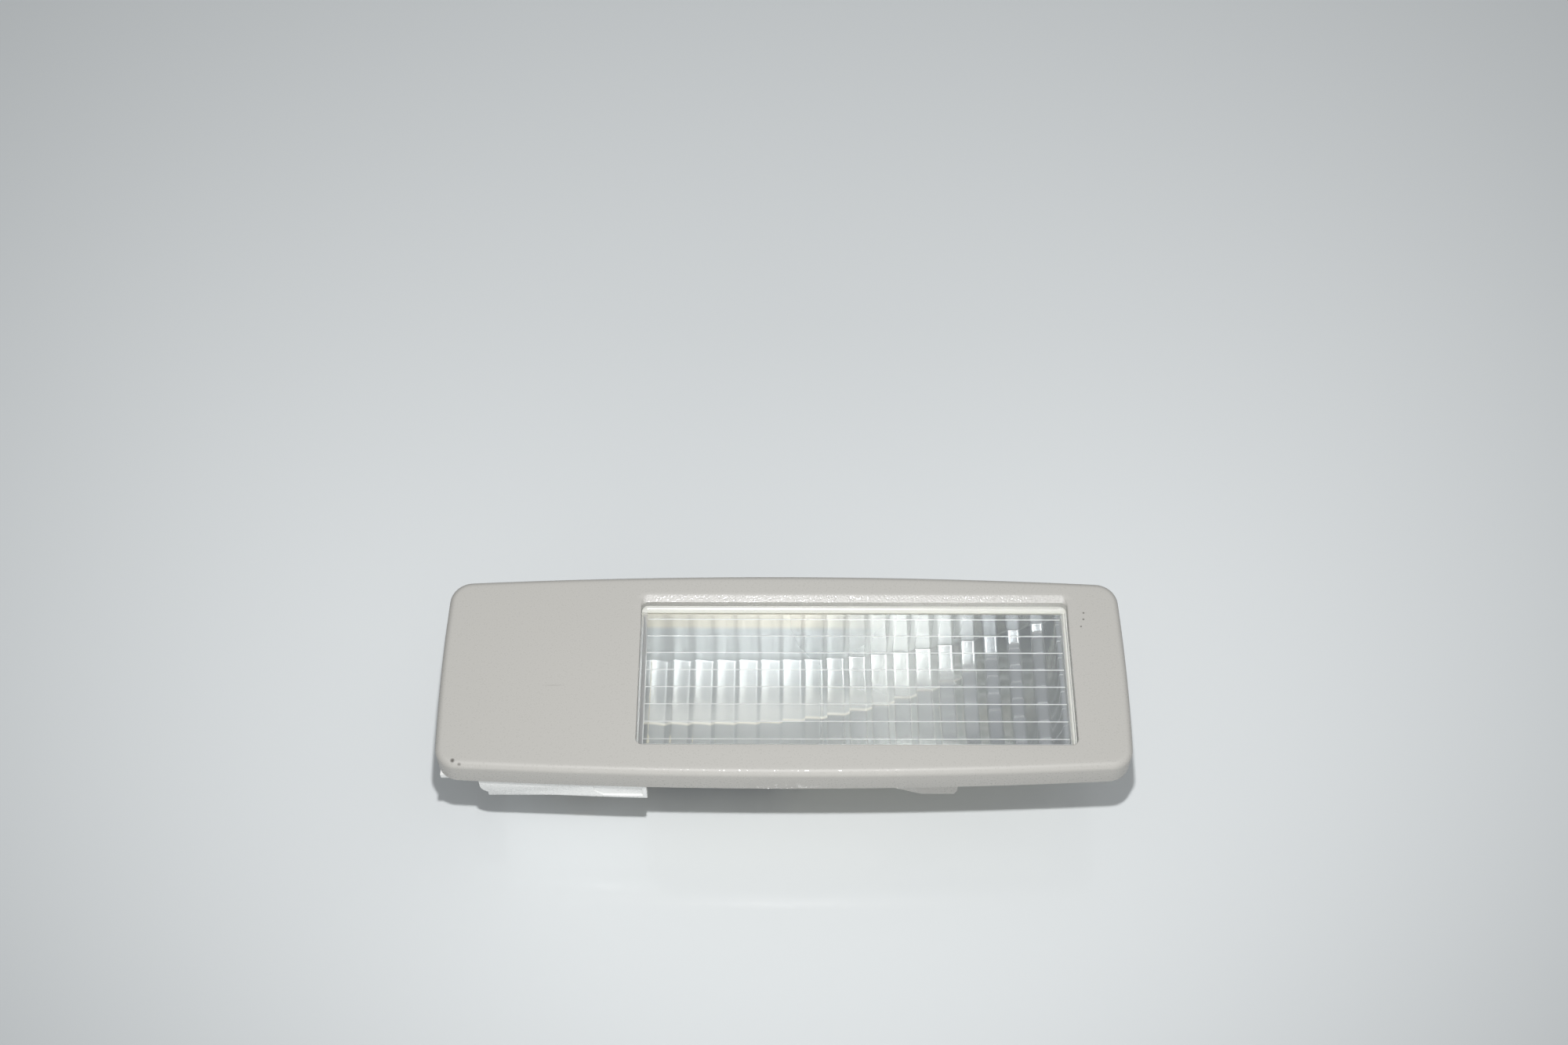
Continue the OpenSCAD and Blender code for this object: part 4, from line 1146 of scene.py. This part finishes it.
screw_head, screw_r, slot_half, slot_len = 1.74, 1.25, 0.29, 1.45
low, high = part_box("housing_screws")
screws = pins("housing_screw_pair",
              [(mm(screw_x), mm(y), (low.z + high.z) / 2) for y in (-screw_y, screw_y)],
              {"Length": high.z - low.z, "Head height": mm(screw_head), "Head radius": mm(2.8),
               "Tip radius": mm(screw_r), "Shank radius": mm(screw_r), "Fullness": 0.5})
for y in (-screw_y, screw_y):
    for wide, deep in ((slot_len, slot_half), (slot_half, slot_len)):
        cross = box_profile(mm(screw_x - wide), mm(screw_x + wide), mm(y - deep), mm(y + deep))
        cutter = prism("cross", cross, "z", low.z - mm(1), low.z + mm(screw_head / 2))
        meet(screws, cutter, "DIFFERENCE")
shade(screws, 35)
finish_piece(screws, spring_steel, "steel", ["housing_screws"])

# %% [markdown]
# ## Table, light and camera
# The lamp lies on a pale glossy table, which is clear from below so that the lamp can be looked at
# from there too. A small hard light stands close to the camera as its flash does, a wide soft one
# low in front lifts the skirt, and the room gives the rest: bright above, dim near the table. The
# camera is placed by its position and its three directions, found by fitting the photograph.

# %% Table
table_material, tree, shader = make_material("table pale gloss", (216, 219, 220), 0.08)
from_below = add_node(tree, "ShaderNodeNewGeometry")
nothing = add_node(tree, "ShaderNodeBsdfTransparent")
show_mix(tree, from_below.outputs["Backfacing"], shader, nothing)
table_half = 3.0
corners = box_profile(-table_half, table_half, -table_half, table_half)
table = plain_object("table", [(x, y, 0.0) for x, y in corners], [(0, 1, 2, 3)])
table.data.materials.append(table_material)
print("table:", 2 * table_half, "m wide")

# %% Room light
room_low, room_high, room_glow = 0.1, 0.45, 0.1
glow_way = (0.0, -0.53, 0.85)
world = bpy.data.worlds.new("soft room")
bpy.context.scene.world = world
world.use_nodes = True
tree = world.node_tree
way = add_node(tree, "ShaderNodeTexCoord").outputs["Generated"]
across, _, upward = split(tree, way)
sideways = (across * 0.9 + 0.95).at_least(0.65).at_most(1.35)
strength = ramp(upward, 0.15, 0.65) * sideways * (room_high - room_low) + room_low
facing = Term(tree, vector_math(tree, "DOT_PRODUCT", way, glow_way))
strength = strength + facing.at_least(0.0).math("POWER", 10.0) * room_glow
background = tree.nodes["Background"]
background.inputs["Color"].default_value = (0.95, 0.98, 1.0, 1.0)
join(tree, strength, background.inputs["Strength"])
print(f"room: {room_low} near the table, {room_high} above")

# %% Key light
def aimed(place, target):
    """The matrix of a light that stands at a place and shines at a target."""
    turn = (Vector(target) - place).to_track_quat("-Z", "Y")
    return Matrix.Translation(place) @ turn.to_matrix().to_4x4()


key = bpy.data.lights.new("key", "SPOT")
key.shadow_soft_size = 0.006
key.spot_size = math.radians(84)
key.spot_blend = 1.0
key.energy = 6.6
key_place = Vector((mm(0.5), mm(-137), face_z + mm(408)))
place_object("key", key, aimed(key_place, (0, mm(130), 0)))
print("key light:", key.energy, "W")

# %% Fill light
fill = bpy.data.lights.new("fill", "AREA")
fill.shape = "RECTANGLE"
fill.size, fill.size_y = 1.8, 0.5
fill.energy = 8.0
fill_matrix = aimed(Vector((0.0, -1.5, 0.32)), (0.0, 0.0, 0.03))
place_object("fill", fill, fill_matrix).visible_camera = False
print("fill light:", fill.energy, "W")

# %% Camera
camera = bpy.data.cameras.new("camera")
camera.sensor_width = 36.0
camera.lens = 46.8
right = Vector((0.999995, 0.000626, 0.003085))
upward = Vector((-0.002204, 0.838845, 0.544366))
forward = Vector((0.002247, 0.544370, -0.838842))
turn = Matrix((right, upward, -forward)).transposed()
eye = Vector((mm(-1.134), mm(-221.992), face_z + mm(403.838)))
scene = bpy.context.scene
scene.camera = place_object("camera", camera, Matrix.Translation(eye) @ turn.to_4x4())
scene.view_settings.view_transform = "Standard"
scene.cycles.max_bounces = 24
scene.cycles.glossy_bounces = 16
scene.cycles.transmission_bounces = 12
scene.cycles.transparent_max_bounces = 16
print("camera at, m:", [round(c, 3) for c in eye])
